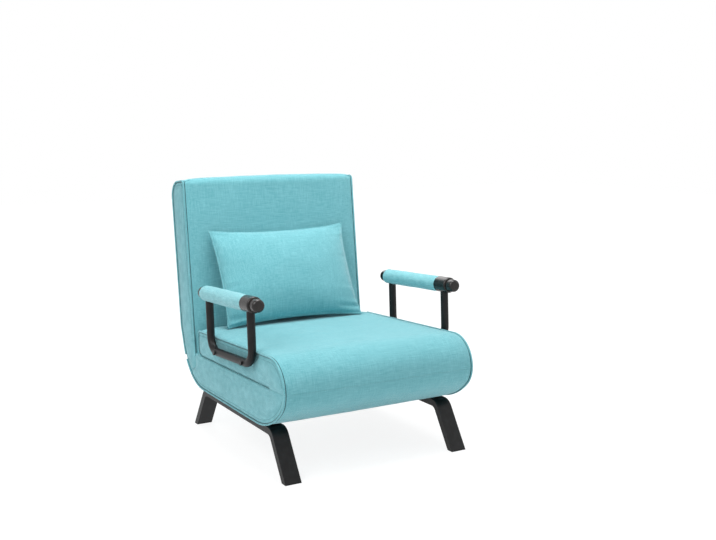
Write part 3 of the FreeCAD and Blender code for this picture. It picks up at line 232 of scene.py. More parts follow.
base_under = joined(
    line(BASE_LOW, KNUCKLE_LOW), knuckle_low, line(TANGENT, BASE_TOP),
    [BASE_TOP] + slot_run(BASE_TOP_Y - BASE_CORNER_ROOM, FRONT_Y, -1)[:-1] + [FRONT_LINE])
back_outer = joined(
    line(on_back(-KNUCKLE_R, 0), on_back(-KNUCKLE_R, BACK_HIGH - BACK_FRONT_R)),
    [on_back(-KNUCKLE_R + BACK_FRONT_R * (1 - math.cos(math.radians(a))),
             BACK_HIGH - BACK_FRONT_R * (1 - math.sin(math.radians(a)))) for a in FRONT_CORNER],
    line(on_back(-KNUCKLE_R + BACK_FRONT_R, BACK_HIGH), on_back(BACK_DEEP - BACK_REAR_R, BACK_HIGH)),
    [on_back(BACK_DEEP - BACK_REAR_R * (1 - math.sin(math.radians(a))),
             BACK_HIGH - BACK_REAR_R * (1 - math.cos(math.radians(a)))) for a in REAR_CORNER],
    line(on_back(BACK_DEEP, BACK_HIGH - BACK_REAR_R), on_back(BACK_DEEP, REAR_LOW_U)),
    line(on_back(BACK_DEEP, REAR_LOW_U), on_circle(BEND_CENTRE, BEND_R, STEEP)),
    arc(BEND_CENTRE, BEND_R, STEEP, BACK_LOW_ANGLE))
back_under = joined(line(BACK_LOW, on_circle(PIVOT, KNUCKLE_R - HOLLOW_GAP, KNUCKLE_REAR)),
                    arc(PIVOT, KNUCKLE_R - HOLLOW_GAP, KNUCKLE_REAR, KNUCKLE_FRONT, CORNER_STEP))
gusset_outer = arc(BEND_CENTRE, BEND_R, BASE_END, BACK_LOW_ANGLE, CORNER_STEP)
gusset_under = joined(line(BACK_LOW, on_circle(PIVOT, KNUCKLE_R, KNUCKLE_REAR)), knuckle_rear[::-1],
                      line(KNUCKLE_LOW, BASE_LOW))

# The edges of the side panels, from which their padding swells; joints between panels aren't edges.
back_edge = [point for point in back_outer if point[1] > BASE_TOP[1] or point[0] > PIVOT[0]]
panel_edges = [seat_outer, slot_run(SEAT_REAR_Y - SEAT_LOW_R, SLOT_FRONT_Y, 1),
               slot_run(BASE_TOP_Y, SLOT_FRONT_Y, -1), base_outer, gusset_outer, back_edge,
               line(TANGENT, BASE_TOP)]


# Cushion meshes

SEAM_STATIONS = (0, 3, 8, 15, 24, 35, 47, 60)   # mesh places inward from a side seam
MIDDLE_STATIONS = 22
ROW_SHARE = 0.866                       # rows of a side panel's mesh are this share of its grid apart
ROW_SHIFTS = (0.75, 0.25)               # where even and odd rows start, as shares of the grid
RIM_ROOM = 0.42                         # share of the grid kept clear inside the outline
DOME_RISE = 14.0                        # a side panel's padding rises over this distance
DOME_SPREAD = 60.0                      # and levels off over this one
SWELL_RISE = 17.0                       # the facing rises over this distance from a side seam
FIRM_SHARE = 0.6                        # share of a crown or dome that is there near its seam
BROAD_CREASE = (1.1, 90.0, 3.1)         # height and size of an unevenness, and its place in the noise
SMALL_CREASE = (0.5, 38.0, 7.7)
PUCKER = (0.8, 40.0, 11.3)
PUCKER_NARROW = 2.4                     # how much narrower a pucker is along the seam than across it
PUCKER_REACH = 26.0
CREASE_CALM = 30.0                      # creases fade out over this distance from a seam
SEAM_CALM = 4.0                         # and puckers over this one
CREASED_FROM = 0.5                      # crowns below this rise have no creases
CREASED_FULL = 4.0
PANEL_PLACE = 700.0                     # where a side panel's unevenness is read in the noise
PANEL_CREASE = 0.6                      # share of the facing's unevenness that a side panel has
PANEL_CALM = 9.0                        # distance from the seam that a millimetre of dome stands for


def at(x, y, z):
    return Vector((x, y + SHIFT_Y, z)) / 1000


def distance_to(points, runs):
    """Shortest distance from each side view point to a set of polylines."""
    best = np.full(len(points), 1e9)
    points = np.array(points, float).reshape(-1, 2)
    for run in runs:
        a, b = np.array(run[:-1], float), np.array(run[1:], float)
        for start, end in zip(a, b):
            along = end - start
            share = np.clip(((points - start) @ along) / max(along @ along, 1e-9), 0, 1)
            best = np.minimum(best, np.linalg.norm(points - start - share[:, None] * along, axis=1))
    return best


def firm(away, spread):
    """Share of a full crown or dome, part of it near the seam and the rest further in."""
    return FIRM_SHARE + (1 - FIRM_SHARE) * (1 - np.exp(-away / spread))


def dome_at(points):
    """How far a side panel stands out at each side view point."""
    away = distance_to(points, panel_edges)
    return SIDE_DOME * (1 - np.exp(-away / DOME_RISE)) * firm(away, DOME_SPREAD)


def inside(point, outline):
    y, z = point
    hit = False
    for (y0, z0), (y1, z1) in zip(outline, outline[1:] + outline[:1]):
        if (z0 > z) != (z1 > z) and y < (y1 - y0) * (z - z0) / (z1 - z0) + y0:
            hit = not hit
    return hit


def fill_outline(outline):
    """Triangles inside a closed outline: the points, its own first, and the faces."""
    ys, zs = [p[0] for p in outline], [p[1] for p in outline]
    extra = []
    row = 0
    z = min(zs) + CUSHION_GRID / 2
    while z < max(zs):
        y = min(ys) + CUSHION_GRID * ROW_SHIFTS[row % 2]
        while y < max(ys):
            if inside((y, z), outline):
                extra.append((y, z))
            y += CUSHION_GRID
        z += CUSHION_GRID * ROW_SHARE
        row += 1
    if extra:
        away = distance_to(extra, [outline + outline[:1]])
        extra = [p for p, d in zip(extra, away) if d > RIM_ROOM * CUSHION_GRID]
    count = len(outline)
    edges = [(i, (i + 1) % count) for i in range(count)]
    found = delaunay_2d_cdt([Vector(p) for p in outline + extra], edges, [], 1, 1e-4)
    return [(p.x, p.y) for p in found[0]], found[2]


def outward(run, turn=1):
    """Unit normals along a polyline, to its left for turn 1."""
    points = np.array(run, float)
    along = np.gradient(points, axis=0)
    along /= np.maximum(np.linalg.norm(along, axis=1), 1e-9)[:, None]
    return np.stack([-along[:, 1], along[:, 0]], 1) * turn


def stations():
    """Places across the width, close together near the seams."""
    side = [HALF_WIDE - inset for inset in SEAM_STATIONS]
    half = side + list(np.linspace(side[-1], 0, MIDDLE_STATIONS))[1:]
    return half + [-x for x in half[-2::-1]]


def swell(x):
    """Share of the full crown at a place across the width."""
    inset = HALF_WIDE - abs(x)
    return (FIRM_SHARE * (1 - math.exp(-inset / SWELL_RISE))
            + (1 - FIRM_SHARE) * (1 - (x / HALF_WIDE) ** 2))


def uneven(kind, x, y, z):
    """Height of one kind of unevenness at a place."""
    height, size, place = kind
    return height * noise.noise(Vector((x / size + place, y / size, z / size)))


def creases(x, y, z, seam):
    """Small unevenness of cloth over wadding, with short puckers by the seams."""
    broad = uneven(BROAD_CREASE, x, y, z) + uneven(SMALL_CREASE, x, y, z)
    pucker = uneven(PUCKER, x, y * PUCKER_NARROW, z * PUCKER_NARROW) * math.exp(-seam / PUCKER_REACH)
    return broad * min(1.0, seam / CREASE_CALM) + pucker * min(1.0, seam / SEAM_CALM)


def panel_creases(side, y, z, seam):
    return creases(side * PANEL_PLACE, y, z, seam) * PANEL_CREASE


def bridge(bm, row, following, closed):
    """A strip of faces between two rows of points; closed rows are rings."""
    count = len(row)
    for k in range(count if closed else count - 1):
        ahead = (k + 1) % count
        bm.faces.new((row[k], row[ahead], following[ahead], following[k]))


def piece_from(bm, name, closed=True, sharp=180.0):
    """A linked object, smooth but for edges where faces meet at more than the sharp angle in degrees."""
    if closed:
        bmesh.ops.recalc_face_normals(bm, faces=bm.faces)
    bm.normal_update()
    for face in bm.faces:
        face.smooth = True
    for edge in bm.edges:
        if len(edge.link_faces) == 2 and edge.calc_face_angle(0) > math.radians(sharp):
            edge.smooth = False
    mesh = bpy.data.meshes.new(name)
    bm.to_mesh(mesh)
    bm.free()
    piece = bpy.data.objects.new(name, mesh)
    bpy.context.scene.collection.objects.link(piece)
    return piece


def cushion(name, outer, under, crown, turn=1, recess=0.0):
    """A closed cushion: its facing crowned across the width, and a padded panel on each side.

    crown gives the rise of each point of the outer run; the under run stays flat.
    """
    bm = bmesh.new()
    xs = stations()
    narrow = 1 - recess / HALF_WIDE
    rows = []
    for (y, z), normal, rise in zip(outer, outward(outer, turn), crown):
        row = []
        for x in xs:
            push = rise * swell(x)
            if rise > CREASED_FROM:
                push += creases(x, y, z, HALF_WIDE - abs(x)) * min(1.0, rise / CREASED_FULL)
            row.append(bm.verts.new(at(x * narrow, y + normal[0] * push, z + normal[1] * push)))
        rows.append(row)
    for y, z in under[1:-1]:
        rows.append([bm.verts.new(at(x * narrow, y, z)) for x in xs])
    rows.append(rows[0])
    for row, following in zip(rows, rows[1:]):
        bridge(bm, row, following, closed=False)
    outline = list(outer) + list(under[1:-1])
    points, faces = fill_outline(outline)
    domes = dome_at(points)
    rim = distance_to(points, [outline + outline[:1]])
    for side in (1, -1):
        made = [row[0 if side > 0 else -1] for row in rows[:-1]]
        for (y, z), dome, edge in list(zip(points, domes, rim))[len(outline):]:
            x = HALF_WIDE - recess + dome + panel_creases(side, y, z, min(edge, dome * PANEL_CALM))
            made.append(bm.verts.new(at(side * x, y, z)))
        for face in faces:
            bm.faces.new([made[i] for i in face])
    return piece_from(bm, name, sharp=50.0)


def level_run(run, level, start, end, plain=0.0):
    """Crowns of one level along a run, eased off to each end's own level, kept for a plain stretch."""
    rises = np.full(len(run), float(level))
    away = np.concatenate([[0], np.cumsum(np.linalg.norm(np.diff(np.array(run), axis=0), axis=1))])
    for wanted, distance in ((start, away), (end, away[-1] - away)):
        share = np.clip((distance - plain) / CROWN_EASE, 0, 1)
        share = share * share * (3 - 2 * share)
        rises = wanted + (rises - wanted) * share
    return rises


# Materials

def srgb(code):
    """Linear colour from an sRGB hex code."""
    parts = [int(code[i:i + 2], 16) / 255 for i in (0, 2, 4)]
    linear = [p / 12.92 if p <= 0.04045 else ((p + 0.055) / 1.055) ** 2.4 for p in parts]
    return (*linear, 1)


def add(tree, kind, **values):
    """A new node with its inputs and settings."""
    node = tree.nodes.new(kind)
    for name, value in values.items():
        socket = node.inputs.get(name.replace("_", " "))
        if socket is not None:
            socket.default_value = value
        else:
            setattr(node, name, value)
    return node


def new_material(name, **values):
    """A material with its shader, and object coordinates in metres."""
    material = bpy.data.materials.new(name)
    material.use_nodes = True
    tree = material.node_tree
    shader = tree.nodes["Principled BSDF"]
    for socket, value in values.items():
        shader.inputs[socket.replace("_", " ")].default_value = value
    where = tree.nodes.new("ShaderNodeTexCoord").outputs["Object"]
    return material, tree, shader, where


def stretched(tree, where, scale):
    """Coordinates scaled along each axis, in cycles per metre."""
    mapping = add(tree, "ShaderNodeMapping", Scale=scale)
    tree.links.new(where, mapping.inputs["Vector"])
    return mapping.outputs["Vector"]


def noise_at(tree, where, scale, detail=3.0):
    texture = add(tree, "ShaderNodeTexNoise", Scale=1.0, Detail=detail)
    tree.links.new(stretched(tree, where, scale), texture.inputs["Vector"])
    return texture.outputs["Fac"]


def ramp(tree, factor, *stops):
    node = tree.nodes.new("ShaderNodeValToRGB")
    node.color_ramp.elements[0].position, node.color_ramp.elements[0].color = stops[0][0], stops[0][1]
    node.color_ramp.elements[1].position, node.color_ramp.elements[1].color = stops[-1][0], stops[-1][1]
    for position, colour in stops[1:-1]:
        element = node.color_ramp.elements.new(position)
        element.color = colour
    tree.links.new(factor, node.inputs["Fac"])
    return node.outputs["Color"]


def paint(tree, shader, factor, *stops):
    """Base colour from a ramp of places and sRGB hex codes."""
    colour = ramp(tree, factor, *((place, srgb(code)) for place, code in stops))
    tree.links.new(colour, shader.inputs["Base Color"])


def math_node(tree, operation, a, b):
    node = tree.nodes.new("ShaderNodeMath")
    node.operation = operation
    for socket, value in zip(node.inputs, (a, b)):
        if isinstance(value, (int, float)):
            socket.default_value = value
        else:
            tree.links.new(value, socket)
    return node.outputs["Value"]


def bumped(tree, shader, height, distance, strength):
    bump = add(tree, "ShaderNodeBump", Strength=strength, Distance=distance)
    tree.links.new(height, bump.inputs["Height"])
    tree.links.new(bump.outputs["Normal"], shader.inputs["Normal"])


# Patterns are in cycles per metre along x, y and z; a wave texture has 20 / (2 pi) bands to a cycle.
SLUBS_ACROSS = (26, 900, 900)           # slubs 38 mm long, threads 1.1 mm apart
SLUBS_ALONG = (1100, 40, 40)            # slubs 25 mm long, threads 0.9 mm apart
DYE_PATCHES = (14, 14, 14)
WEAVE = 520.0                           # threads 0.6 mm apart
RUBBED = (55, 55, 55)                   # rubbed patches 18 mm across
GRAIN = (1400, 1400, 1400)              # grain 0.7 mm across
ZINC_MOTTLE = (120, 120, 120)
ZINC_BRUSH = (900, 900, 200)
FUZZ = (300, 300, 300)
STRAP_RIBS = 260.0                      # ribs 1.2 mm apart
LINING_RIBS = 420.0                     # ribs 0.75 mm apart


def linen(name, light, middle, dark):
    """Teal linen-look polyester: slub streaks both ways, a fine plain weave and a soft sheen."""
    material, tree, shader, where = new_material(
        name, Roughness=0.82, Sheen_Weight=0.35, Sheen_Roughness=0.45, Specular_IOR_Level=0.25)
    across = noise_at(tree, where, SLUBS_ACROSS, 4.0)
    along = noise_at(tree, where, SLUBS_ALONG, 4.0)
    patches = noise_at(tree, where, DYE_PATCHES, 2.0)
    streaks = math_node(tree, "ADD", math_node(tree, "MULTIPLY", across, 0.48),
                        math_node(tree, "MULTIPLY", along, 0.44))
    streaks = math_node(tree, "ADD", streaks, math_node(tree, "MULTIPLY", patches, 0.08))
    paint(tree, shader, streaks, (0.34, dark), (0.5, middle), (0.66, light))
    weave = []
    for direction in ("X", "Z", "Y"):
        wave = add(tree, "ShaderNodeTexWave", Scale=WEAVE, Distortion=1.2, wave_type="BANDS",
                   bands_direction=direction, wave_profile="SIN")
        tree.links.new(where, wave.inputs["Vector"])
        weave.append(wave.outputs["Fac"])
    threads = math_node(tree, "ADD", math_node(tree, "ADD", weave[0], weave[1]), weave[2])
    height = math_node(tree, "ADD", math_node(tree, "MULTIPLY", threads, 0.35), streaks)
    bumped(tree, shader, height, 0.0005, 0.55)
    return material


def coated(name, colour, worn, roughness, bump_mm, specular=0.25):
    """A black finish with a fine grain and slightly paler rubbed patches."""
    material, tree, shader, where = new_material(name, Roughness=roughness, Specular_IOR_Level=specular)
    paint(tree, shader, noise_at(tree, where, RUBBED, 4.0), (0.4, colour), (0.72, worn))
    bumped(tree, shader, noise_at(tree, where, GRAIN, 2.0), bump_mm / 1000, 0.5)
    return material


def plated(name):
    """Zinc plate: pale metal with a faint mottle."""
    material, tree, shader, where = new_material(name, Metallic=1.0, Roughness=0.32)
    paint(tree, shader, noise_at(tree, where, ZINC_MOTTLE), (0.35, "B4B6B8"), (0.7, "D2D3D4"))
    bumped(tree, shader, noise_at(tree, where, ZINC_BRUSH, 2.0), 0.0001, 0.4)
    return material


def woven_black(name, colour, ribs):
    """Black webbing or lining with its ribs and a little fuzz."""
    material, tree, shader, where = new_material(name, Roughness=0.9, Sheen_Weight=0.2)
    paint(tree, shader, noise_at(tree, where, FUZZ), (0.3, colour), (0.8, "2A2B2C"))
    wave = add(tree, "ShaderNodeTexWave", Scale=ribs, Distortion=0.6, wave_type="BANDS", bands_direction="X")
    tree.links.new(where, wave.inputs["Vector"])
    bumped(tree, shader, wave.outputs["Fac"], 0.0003, 0.5)
    return material


cover_linen = linen("cover_linen", "86C6CD", "6EB2BA", "58A0A9")
arm_linen = linen("arm_linen", "96D2D8", "7CBEC5", "62A6AE")
piping_linen = linen("piping_linen", "92D0D6", "70B4BC", "4A929A")
thread = linen("thread", "4B98A0", "3B858D", "2C727A")
# painted shade: a dark teal for the cords that stand for the shade in the seam beside the piping
seam_shade = linen("seam_shade", "256A72", "1B5860", "12464D")
powder_coat = coated("powder_coat", "0D0D0E", "19191A", 0.42, 0.05)
cap_plastic = coated("cap_plastic", "120F0E", "1D1917", 0.26, 0.02, 0.4)
bolt_black = coated("bolt_black", "101011", "2A2A2B", 0.38, 0.04)
foot_plastic = coated("foot_plastic", "0C0C0C", "1A1A1A", 0.6, 0.08)
zinc = plated("zinc")
strap_black = woven_black("strap_black", "121314", STRAP_RIBS)
lining_black = woven_black("lining_black", "0E0F10", LINING_RIBS)

NODE_FINISHES = {
    "black_powder_coat": powder_coat, "black_bolt_steel": bolt_black, "zinc_plated_steel": zinc,
    "moulded_plastic": cap_plastic, "foot_rubber": foot_plastic, "elastic_webbing": strap_black,
    "dust_cover_fabric": lining_black, "upholstery_fabric": cover_linen, "piping_fabric": piping_linen}


def finish_frame_nodes():
    """Give every carried-over node its finish, by the record's slot."""
    for row in frame["record"]["subparts"]:
        piece = frame["nodes"][row["node"]]
        piece.data.materials.clear()
        piece.data.materials.append(NODE_FINISHES[row["material_slot"]])


def dress(piece, material, body=None, replaced=()):
    piece.data.materials.clear()
    piece.data.materials.append(material)
    if body:
        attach(piece, body)
    if replaced:
        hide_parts(*replaced)
    return piece


# Piping and stitches, in millimetres

PIPING_R = 2.7
PILLOW_PIPING_R = 2.6
PIPING_PLACE = (1.4, 0.6)               # out from the pad's side, and out from its edge
# The dark cords beside the piping are painted shade in the seam: their places, radius and sides.
SHADE_LINE_PLACES = ((1.1, -3.3), (-2.9, 0.9))
SHADE_LINE_R = 1.1
THREAD_R = 0.5
CORD_SIDES, SHADE_LINE_SIDES, THREAD_SIDES = 10, 6, 5
PATH_STEP = 4.0
STITCH_PITCH = 7.0
STITCH_HALF = 2.3
STITCH_LIFT = 0.1                       # a stitch's ends above the cloth
STITCH_ARCH = 0.35                      # its middle above its ends
STITCH_INSET = 13.0                     # from a panel's edge
SLOT_STITCH_INSET = 6.0                 # from the slot


def tube(name, paths, radius, sides=CORD_SIDES):
    """Round cord along each path of model points in metres, with closed ends."""
    bm = bmesh.new()
    metres = radius / 1000
    turns = [2 * math.pi * k / sides for k in range(sides)]
    for path in paths:
        rings = []
        lift = None
        for i, point in enumerate(path):
            ahead = (path[min(i + 1, len(path) - 1)] - path[max(i - 1, 0)]).normalized()
            if lift is None:
                lift = ahead.orthogonal().normalized()
            lift = (lift - ahead * lift.dot(ahead)).normalized()
            side = ahead.cross(lift)
            rim = [lift * math.cos(turn) + side * math.sin(turn) for turn in turns]
            rings.append([bm.verts.new(point + outward_way * metres) for outward_way in rim])
        for ring, following in zip(rings, rings[1:]):
            bridge(bm, ring, following, closed=True)
        bm.faces.new(rings[0][::-1])
        bm.faces.new(rings[-1])
    return piece_from(bm, name)


def spaced(run, step):
    """Points along a side view run at an even step."""
    points = np.array(run, float)
    away = np.concatenate([[0], np.cumsum(np.linalg.norm(np.diff(points, axis=0), axis=1))])
    places = np.linspace(0, away[-1], max(2, round(away[-1] / step)))
    return np.stack([np.interp(places, away, points[:, 0]), np.interp(places, away, points[:, 1])], 1)


def edge_path(points, normals, side, place):
    """Model points along a seam on one side, moved out from the pad's side and from its edge."""
    out, proud = place
    return [at(side * (HALF_WIDE + out), y + n[0] * proud, z + n[1] * proud)
            for (y, z), n in zip(points, normals)]


def seam_paths(run, turn):
    """The piping's path along a run, at the seam on both sides of the chair."""
    points = spaced(run, PATH_STEP)
    normals = outward(points, turn)
    return [edge_path(points, normals, side, PIPING_PLACE) for side in (1, -1)]


def piping_shade_lines(run, turn):
    """Paths of the dark cords that paint the shade in the seam on each side of the piping, on both sides of the
    chair.
    """
    points = spaced(run, PATH_STEP)
    normals = outward(points, turn)
    return [edge_path(points, normals, side, place) for side in (1, -1) for place in SHADE_LINE_PLACES]


def stitch_paths(run, turn, inset):
    """Short stitches along a side panel, inset from the seam of a run."""
    points = spaced(run, STITCH_PITCH)
    inner = points - outward(points, turn) * inset
    along = np.gradient(inner, axis=0)
    along /= np.linalg.norm(along, axis=1)[:, None]
    paths = []
    for (y, z), (dy, dz), dome in zip(inner, along * STITCH_HALF, dome_at(inner)):
        for side in (1, -1):
            x = side * (HALF_WIDE + dome + panel_creases(side, y, z, dome * PANEL_CALM) + STITCH_LIFT)
            paths.append([at(x, y - dy, z - dz), at(x + side * STITCH_ARCH, y, z), at(x, y + dy, z + dz)])
    return paths


# Cushions and their trim

SEAT_SLOT_ROOM = 30.0                   # the slot's stitches start this far from the layer's rear
BASE_SLOT_ROOM = 12.0
ARROW_LONG = 14.0                       # the row that closes the slot's front end
ARROW_DROP = 6.0                        # how far below the slot it starts
ARROW_TIP_DROP = 0.6
REAR_FACE_ROOM = 6.0                    # what lies this close to the rear face is kept flat
TOP_SEAM = (2.0, 2.5)                   # the top seam's place behind the front face and below the top
TOP_SEAM_SHARE = 0.5                    # share of the crown that it follows
TOP_SEAM_POINTS = 90
GUSSET_RECESS = 1.0


def sew(label, body, replaced, run, turn, stitches, more_cord=()):
    """A cushion's piping, its stitches, and the dark cords that paint the shade in the seam beside the piping."""
    cord = tube(label + "_piping_cord", seam_paths(run, turn) + list(more_cord), PIPING_R)
    dress(cord, piping_linen, body, replaced)
    stitching = tube(label + "_stitches", stitches, THREAD_R, THREAD_SIDES)
    dress(stitching, thread, body)
    # painted shade: dark cords in the seam beside the piping
    shade_cord = tube(label + "_piping_shade_lines", piping_shade_lines(run, turn), SHADE_LINE_R, SHADE_LINE_SIDES)
    dress(shade_cord, seam_shade, body)
    return [cord, stitching, shade_cord]


def draw_back(pieces):
    """Give each piece its own copy of its mesh."""
    for piece in pieces:
        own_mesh(piece)


def seat_layer():
    cover = cushion("seat_cover", seat_outer, seat_under, level_run(seat_outer, SEAT_CROWN, FRONT_CROWN, 0.0))
    dress(cover, cover_linen, "seat", ("seat_pad", "seat_sleep_pad"))
    slot = slot_run(SEAT_REAR_Y - SEAT_SLOT_ROOM, SLOT_FRONT_Y, 1)
    stitches = stitch_paths(seat_outer[3:-6], 1, STITCH_INSET) + stitch_paths(slot, -1, SLOT_STITCH_INSET)
    draw_back([cover] + sew("seat", "seat", ("seat_piping",), seat_outer, 1, stitches))


def base_layer():
    cover = cushion("base_cover", base_outer, base_under,
                    level_run(base_outer, BASE_CROWN, FRONT_CROWN, 0.0), -1)
    dress(cover, cover_linen, "base", ("base_pad", "front_roll_cover"))
    slot = slot_run(BASE_TOP_Y - BASE_SLOT_ROOM, SLOT_FRONT_Y, -1)
    stitches = (stitch_paths(base_outer[3:-4], -1, STITCH_INSET) + stitch_paths(slot, 1, SLOT_STITCH_INSET)
                + arrow_stitches())
    trim = sew("base", "base", ("base_piping", "front_roll_piping"), base_outer, -1, stitches)
    draw_back([cover] + trim)


def arrow_stitches():
    """The short slanting row of stitches that closes the slot's front end."""
    tip_y = SLOT_FRONT_Y - ARROW_LONG
    return stitch_paths([(SLOT_FRONT_Y, slot_z(SLOT_FRONT_Y) - ARROW_DROP),
                         (tip_y, slot_z(tip_y) - ARROW_TIP_DROP)], 1, 0.0)


def backrest():
    rises = level_run(back_outer, BACK_CROWN, 0.0, 0.0, plain=BACK_PLAIN)
    behind = np.array([(y - PIVOT[0]) * math.cos(BACK_LEAN) - (z - PIVOT[1]) * math.sin(BACK_LEAN)
                       for y, z in back_outer])
    rises = np.where(behind > BACK_DEEP - REAR_FACE_ROOM, np.minimum(rises, REAR_CROWN), rises)
    cover = cushion("back_cover", back_outer, back_under, rises)
    dress(cover, cover_linen, "back", ("back_pad", "back_rear_panel"))
    top_seam = [at(x, *on_back(-KNUCKLE_R + TOP_SEAM[0],
                               BACK_HIGH - TOP_SEAM[1] + BACK_CROWN * TOP_SEAM_SHARE * swell(x)))
                for x in np.linspace(-HALF_WIDE, HALF_WIDE, TOP_SEAM_POINTS)]
    sew("back", "back", ("back_piping",), back_outer[2:-2], 1,
        stitch_paths(back_outer[8:-8], 1, STITCH_INSET), [top_seam])


def rear_gusset():
    """Fabric over the bend between base and back, with its piping, baked into place."""
    gusset = cushion("rear_gusset", gusset_outer, gusset_under, [0.0] * len(gusset_outer), -1, GUSSET_RECESS)
    dress(gusset, cover_linen, None, ("rear_bend_cover",))
    trim = tube("gusset_piping_cord", seam_paths(gusset_outer, -1), PIPING_R)
    dress(trim, piping_linen)
    for piece in (gusset, trim):
        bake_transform(piece)


# Pillow

PILLOW_BOX = [Vector(corner) * 1000 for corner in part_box("pillow")]
PILLOW_MIDDLE = (PILLOW_BOX[0] + PILLOW_BOX[1]) / 2
PILLOW_WIDE = 240.0
PILLOW_TALL = 159.0
PILLOW_THICK = 58.0
PILLOW_LEAN = math.radians(25.5)
PILLOW_COUNT = 61
PILLOW_DRAWN = (10.0, 13.0)             # how far its side and its top edges are drawn in
CORNER_OUT = 3.0                        # how far its corners are pulled out
FULL_SIDE, FULL_TOP, FULL_ROUND = 2.4, 2.2, 0.52    # powers that shape the filling
REAR_THICK = 0.94                       # the rear is a little flatter than the front
SEAM_PUCKER = 7.0
PUCKER_IN = 0.16                        # puckers fade over this share of its half width
BROAD_DENT = 3.5
DIAGONAL_DENT = 5.0                     # soft folds from the middle to each corner
DIAGONAL_WIDE = 0.22
DIAGONAL_IN = 0.3
LEAST_THICK = 0.4
CORD_OUT = (1.004, 1.006)               # the cord lies just outside the seam
CORD_POINTS = 60                        # along each edge
PILLOW_REST_U = 250.0                   # place up the back
PILLOW_BACK_ROOM = 4.0


def on_pillow(x, n, h):
    """Model point from the pillow's own width, thickness and height."""
    y = PILLOW_MIDDLE.y + n * math.cos(PILLOW_LEAN) + h * math.sin(PILLOW_LEAN)
    z = PILLOW_MIDDLE.z - n * math.sin(PILLOW_LEAN) + h * math.cos(PILLOW_LEAN)
    return Vector((x, y, z)) / 1000


def pillow_edge(s, t):
    """Outline of the pillow: edges drawn in between pulled-out corners."""
    x = s * (PILLOW_WIDE - PILLOW_DRAWN[0] * (1 - t * t) + CORNER_OUT * t ** 8)
    h = t * (PILLOW_TALL - PILLOW_DRAWN[1] * (1 - s * s) + CORNER_OUT * s ** 8)
    return x, h


def pillow_surface(s, t, face):
    """A point of the pillow's front, face -1, or its rear, face 1."""
    x, h = pillow_edge(s, t)
    full = ((1 - abs(s) ** FULL_SIDE) * (1 - abs(t) ** FULL_TOP)) ** FULL_ROUND
    thick = PILLOW_THICK * full * (1.0 if face < 0 else REAR_THICK)
    rim = min(1 - abs(s), 1 - abs(t))
    near = math.exp(-rim / PUCKER_IN) * min(1.0, rim / 0.03)
    side_pucker = noise.noise(Vector((s * 1.2 + 5, t * 11.0, face * 3)))
    end_pucker = noise.noise(Vector((s * 15.0, t * 1.2 + 9, face * 5)))
    pucker = side_pucker if abs(s) * 1.3 > abs(t) else end_pucker
    broad = noise.noise(Vector((s * 2.2, t * 2.0, face * 7 + 2)))
    thick += near * SEAM_PUCKER * pucker + broad * BROAD_DENT * full
    diagonal = math.exp(-((abs(s) - abs(t)) / DIAGONAL_WIDE) ** 2)
    thick -= DIAGONAL_DENT * diagonal * math.exp(-rim / DIAGONAL_IN) * min(1.0, rim / 0.1)
    return on_pillow(x, face * max(thick, LEAST_THICK), h)


def pillow_cord():
    """The piping's path round the pillow, from its lower edge, closed on itself."""
    path = []
    for fixed, sign in (("t", -1), ("s", 1), ("t", 1), ("s", -1)):
        for k in range(CORD_POINTS):
            along = sign * (2 * k / CORD_POINTS - 1) * (1 if fixed == "s" else -1)
            x, h = pillow_edge(*((along, sign) if fixed == "t" else (sign, along)))
            path.append(on_pillow(x * CORD_OUT[0], 0, h * CORD_OUT[1]))
    return path + [path[0].copy()]


def make_pillow():
    bm = bmesh.new()
    count = PILLOW_COUNT
    spread = [math.sin(math.pi / 2 * (2 * i / (count - 1) - 1)) for i in range(count)]
    rim = {}
    for face in (-1, 1):
        grid = []
        for i, s in enumerate(spread):
            column = []
            for j, t in enumerate(spread):
                if i in (0, count - 1) or j in (0, count - 1):
                    if (i, j) not in rim:
                        x, h = pillow_edge(s, t)
                        rim[i, j] = bm.verts.new(on_pillow(x, 0, h))
                    column.append(rim[i, j])
                else:
                    column.append(bm.verts.new(pillow_surface(s, t, face)))
            grid.append(column)
        for i in range(count - 1):
            for j in range(count - 1):
                corners = (grid[i][j], grid[i + 1][j], grid[i + 1][j + 1], grid[i][j + 1])
                bm.faces.new(corners if face < 0 else corners[::-1])
    pillow = piece_from(bm, "loose_pillow")
    dress(pillow, cover_linen, "pillow", ("pillow",))
    trim = tube("pillow_piping_cord", [pillow_cord()], PILLOW_PIPING_R)
    dress(trim, piping_linen, "pillow", ("pillow_piping",))
    face = at(0, *on_back(-KNUCKLE_R - BACK_CROWN - PILLOW_BACK_ROOM, PILLOW_REST_U))
    for piece in (pillow, trim):
        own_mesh(piece)


# Arm pads

ARM_TILT = math.radians(3.2)
ARM_X = 329.0
ARM_N = 233.5                           # the pad's axis above the fold line, square to the tilted arm
ARM_PAD_R = 24.0
ARM_FROM = 174.4
ARM_TO = 475.6
ARM_RINGS = 110
ARM_SIDES = 72
ARM_CROWD = 0.11                        # how far the rings crowd towards the ends
END_DRAW = 1.9                          # an end is drawn in by this
END_REACH = 9.0
ROLL_HIGH = 1.3                         # its rolled rim: height, place from the end and width
ROLL_FROM_END = 2.6
ROLL_LONG = 2.2
UNDER_SEAM = 1.6                        # depth of the seam along the underside
UNDER_SEAM_WIDE = 0.07                  # in radians


def on_arm(x, along, up):
    y = FOLD_Y + along * math.cos(ARM_TILT) + up * math.sin(ARM_TILT)
    z = FOLD_Z - along * math.sin(ARM_TILT) + up * math.cos(ARM_TILT)
    return at(x, y, z)


